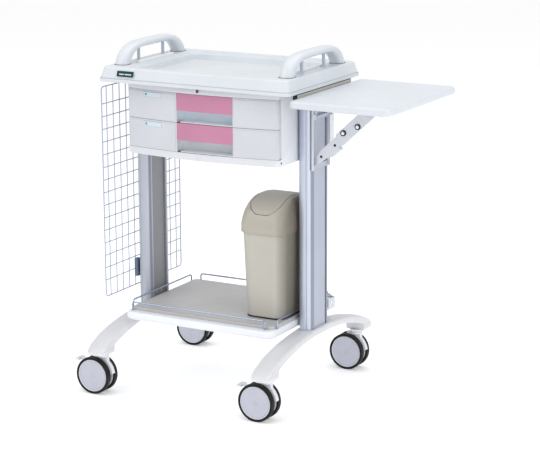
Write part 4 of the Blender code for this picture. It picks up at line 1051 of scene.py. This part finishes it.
def strut():
    front, back = cad("strut_plate")[0].y, cad("strut_arm")[1].y
    low, high = cad("side_shelf_clevis")
    middle, half = (low + high) / 2, (high - low) / 2
    base = stack([(half.x, half.y, 0.004, z) for z in (high.z - 0.0025, high.z)], middle.x, middle.y)
    ear = [(STRUT_X - 0.016, high.z - 0.0007)] + arc(STRUT_X, STRUT_Z, 0.011, 180, 360, 24)
    ear.append((STRUT_X + 0.016, high.z - 0.0007))
    ears = [prism(ear, 0.0025, (0, place, 0), ALONG_Y)
            for place in (front - GAP - 0.00125, back + GAP + 0.00125)]
    pin = put(cylinder(0.004, 0.019, 32), (STRUT_X, (front + back) / 2, STRUT_Z), ALONG_Y)
    piece("strut_clevis", softened(combined(base, [], ears + [pin]), 0.0005, 2, 50), STEEL, "side_shelf",
          ("side_shelf_clevis",), 40)
    rivet = turned(mm([(0, 2.4), (3.6, 2), (5.4, 1), (5.6, 0), (0, 0)]), 40)
    piece("strut_clevis_rivet", put(rivet, (STRUT_X, front - GAP - 0.0025, STRUT_Z), ALONG_Y), CHROME,
          "side_shelf")
    plate = arc(0, 0, 0.0165, 90, 270, 24) + mm([(112, -16.5), (117, -12), (117, 12), (112, 16.5)])
    strut_bar("strut_front_plate", "strut_plate", plate, 0.0007)
    arm = arc(0, 0, 0.013, 90, 270, 20) + mm([(-30, -13), (-12, -8)], STRUT_LENGTH)
    arm += arc(STRUT_LENGTH, 0, 0.008, -90, 90, 20) + mm([(-22, 10)], STRUT_LENGTH)
    arm += arc(STRUT_LENGTH - 0.046, 0.011, 0.009, 30, 90, 10)
    arm += mm([(-76, 20), (-76, 12), (-84, 12), (-84, 15)], STRUT_LENGTH)
    strut_bar("strut_lower_arm", "strut_arm", arm, 0.0014)
    for name in ("strut_screw_lower", "strut_screw_upper"):
        low, high = cad(name)
        x, y, z = (low.x + high.x) / 2, high.y, (low.z + high.z) / 2
        collar = turned(mm([(0, 3.2), (6.8, 3.2), (7.6, 2.6), (7.6, 0), (0, 0)]), 40)
        piece(name + "_collar", put(collar, (x, y, z), ALONG_Y), DARK, "strut", (name,), 40)
        piece(name + "_head", put(screw_head(0.0046, 0.0016), (x, y - 0.0031, z), ALONG_Y), CHROME,
              "strut", smooth=40)
    rivets = [put(turned(mm([(0, 1.6), (3.2, 1), (3.6, 0), (0, 0)]), 28),
                  (x, cad("strut_arm")[0].y, z), ALONG_Y)
              for x, z in along_strut([(0.135, 0.002), (0.186, 0.0)])]
    piece("strut_rivets", merged(*rivets), DARK, "strut", smooth=40)


# ---------------------------------------------------------------- bin

BIN_LOW, BIN_HIGH = cad("bin_body")
BIN_X, BIN_Y = (BIN_LOW.x + BIN_HIGH.x) / 2, (BIN_LOW.y + BIN_HIGH.y) / 2
# The hood's outer shape, from its foot up: half width, half depth and height.
DOME = mm([(67, 104, 447), (67.3, 104.3, 456), (67.2, 104.2, 468), (66, 100, 484), (64.8, 94.5, 495),
           (63, 88, 505), (59, 70, 521.5), (53, 48, 532.5), (43, 25, 537.5)])


def bin_stack(levels):
    return stack(levels, BIN_X, BIN_Y, 12)


def dome(offset=0.0):
    """The hood's outer shape filled, or the same moved inwards by an offset."""
    smooth = smooth_path(DOME, 4)
    levels = []
    for index, (half_x, half_y, z) in enumerate(smooth):
        radius = min(0.031, half_x * 0.48)
        drop = offset * min(1.0, index / len(smooth) * 2) if index else 0.001 * (offset > 0)
        levels.append((half_x - offset, half_y - offset, max(radius - offset, 0.006), z - drop))
    return bin_stack(levels)


def flap_prism(*margins):
    """A tall prism on the flap's outline grown by a margin, hollow where a second margin is given."""
    loops = [rounded_rect(0.0447 + m, 0.0925 + m, 0.032 + m, 12, BIN_X, BIN_Y) for m in margins]
    return put(outline(loops, 0.2), (0, 0, 0.588))


def swing_bin():
    bottom, top, wall = BIN_LOW.z, BIN_HIGH.z, 0.0025
    levels = mm([(51, 85, 21, 0.4), (53, 87, 23, 0), (54.6, 88.6, 24.5, 0.6), (55.6, 89.6, 26, 2),
                 (56.1, 90.1, 27, 4.5)], 0, 0, 0, bottom)
    levels.append((0.0595, 0.095, 0.028, (bottom + top) / 2))
    levels += mm([(62.9, 99.9, 29, -1), (62.5, 99.5, 29, 0), (60.5, 97.5, 26.5, -0.4)], 0, 0, 0, top)
    levels += mm([(53.5, 87.5, 24.5, 5), (50.5, 84.5, 22, 3)], 0, 0, 0, bottom)
    piece("bin_bucket", bin_stack(levels), BIN, "bin", ("bin_body",), 50)
    foot = mm([(54.5, 88.5, 24.5, 0.2), (56.2, 90.2, 26, 0.6), (56.5, 90.5, 26, 3.8), (55.5, 89.5, 25, 4.2)],
              0, 0, 0, bottom)
    piece("bin_foot_band", bin_stack(foot), DARK, "bin")
    hood = softened(combined(dome(), [dome(wall), flap_prism(0.0015)]), 0.0007, 2, 50)
    piece("bin_cover", hood, BIN_DOME, "bin", ("bin_hood",), 40, False)
    band = mm([(67.2, 104.2, 31, 447.2), (67.6, 104.6, 31.4, 448), (67.7, 104.7, 31.5, 451),
               (67.3, 104.3, 31, 452.2)])
    hollow = mm([(66, 103, 30, 440), (66, 103, 30, 460)])
    piece("bin_cover_lip", combined(bin_stack(band), [bin_stack(hollow)]), BIN_DOME, "bin")
    # A near-black ledge just under the flap's seam: painted shadow in the gap.
    seam_shadow = common(combined(dome(0.0006), [dome(0.0022)]), flap_prism(0.0014, 0.0001))
    piece("bin_flap_seam_shadow", seam_shadow, DARK, "bin", weighted=False)
    flap = softened(common(combined(dome(), [dome(wall)]), flap_prism(0.0)), 0.0007, 2, 50)
    piece("bin_swing_flap", flap, BIN_DOME, "bin_flap", ("bin_flap",), 40, False)


# ---------------------------------------------------------------- studio

def aim(obj, target):
    obj.rotation_euler = (Vector(target) - obj.location).to_track_quat("-Z", "Y").to_euler()


def light(name, place, target, size, power, colour=(1, 1, 1)):
    data = bpy.data.lights.new(name, "AREA")
    data.shape = "RECTANGLE"
    data.size, data.size_y = size
    data.energy = power
    data.color = colour
    made = bpy.data.objects.new(name, data)
    made.location = place
    bpy.context.scene.collection.objects.link(made)
    aim(made, target)


def studio():
    ground = bmesh.new()
    bmesh.ops.create_grid(ground, x_segments=40, y_segments=40, size=9.0)
    floor = bpy.data.objects.new("floor", mesh_of(ground, "floor"))
    floor.data.materials.append(FLOOR)
    bpy.context.scene.collection.objects.link(floor)
    world = bpy.data.worlds.new("studio")
    bpy.context.scene.world = world
    world.use_nodes = True
    tree = world.node_tree
    ambient = tree.nodes["Background"]
    ambient.inputs["Color"].default_value = (1.0, 1.0, 1.0, 1.0)
    ambient.inputs["Strength"].default_value = 0.8
    backdrop = new_node(tree, "ShaderNodeBackground", {"Strength": 1.0})
    backdrop.inputs["Color"].default_value = (1.0, 1.0, 1.0, 1.0)
    seen = new_node(tree, "ShaderNodeLightPath")
    choice = new_node(tree, "ShaderNodeMixShader")
    tree.links.new(seen.outputs["Is Camera Ray"], choice.inputs[0])
    tree.links.new(ambient.outputs[0], choice.inputs[1])
    tree.links.new(backdrop.outputs[0], choice.inputs[2])
    tree.links.new(choice.outputs[0], tree.nodes["World Output"].inputs["Surface"])
    light("key", (-2.2, -3.0, 3.4), (0, 0, 0.5), (2.4, 2.4), 48, (1.0, 0.995, 0.985))
    light("fill", (3.2, -1.6, 1.5), (0, 0, 0.45), (2.4, 2.4), 34, (0.97, 0.985, 1.0))
    light("top", (0.2, 0.4, 3.4), (0, 0, 0.6), (3.0, 3.0), 36)
    camera = bpy.data.objects.new("camera", bpy.data.cameras.new("camera"))
    camera.data.lens = 132.8
    camera.data.sensor_width = 36
    camera.location = (2.4724, -4.4585, 1.6405)
    bpy.context.scene.collection.objects.link(camera)
    look = (Vector((-0.0243, 0.0494, 0.4306)) - camera.location).to_track_quat("-Z", "Y")
    roll = Matrix.Rotation(radians(-0.318), 4, "Z")
    camera.rotation_euler = (look.to_matrix().to_4x4() @ roll).to_euler()
    bpy.context.scene.camera = camera
    bpy.context.scene.view_settings.view_transform = "Standard"


tray()
badge()
handle("handle_left")
handle("handle_right")
cabinet()
drawer("drawer_lower")
drawer("drawer_upper")
lock()
runners()
column(-1, "column_left")
column(1, "column_right")
leg(-1, "leg_left")
leg(1, "leg_right")
for corner in ("front_left", "front_right", "back_left", "back_right"):
    caster("caster_" + corner, corner.startswith("front"))
lower_shelf()
for side in ("front", "back", "left", "right"):
    guard_rail("rail_" + side)
wire_grid()
pole_socket()
hinge_bar()
strut_bracket()
side_shelf()
strut()
swing_bin()
studio()
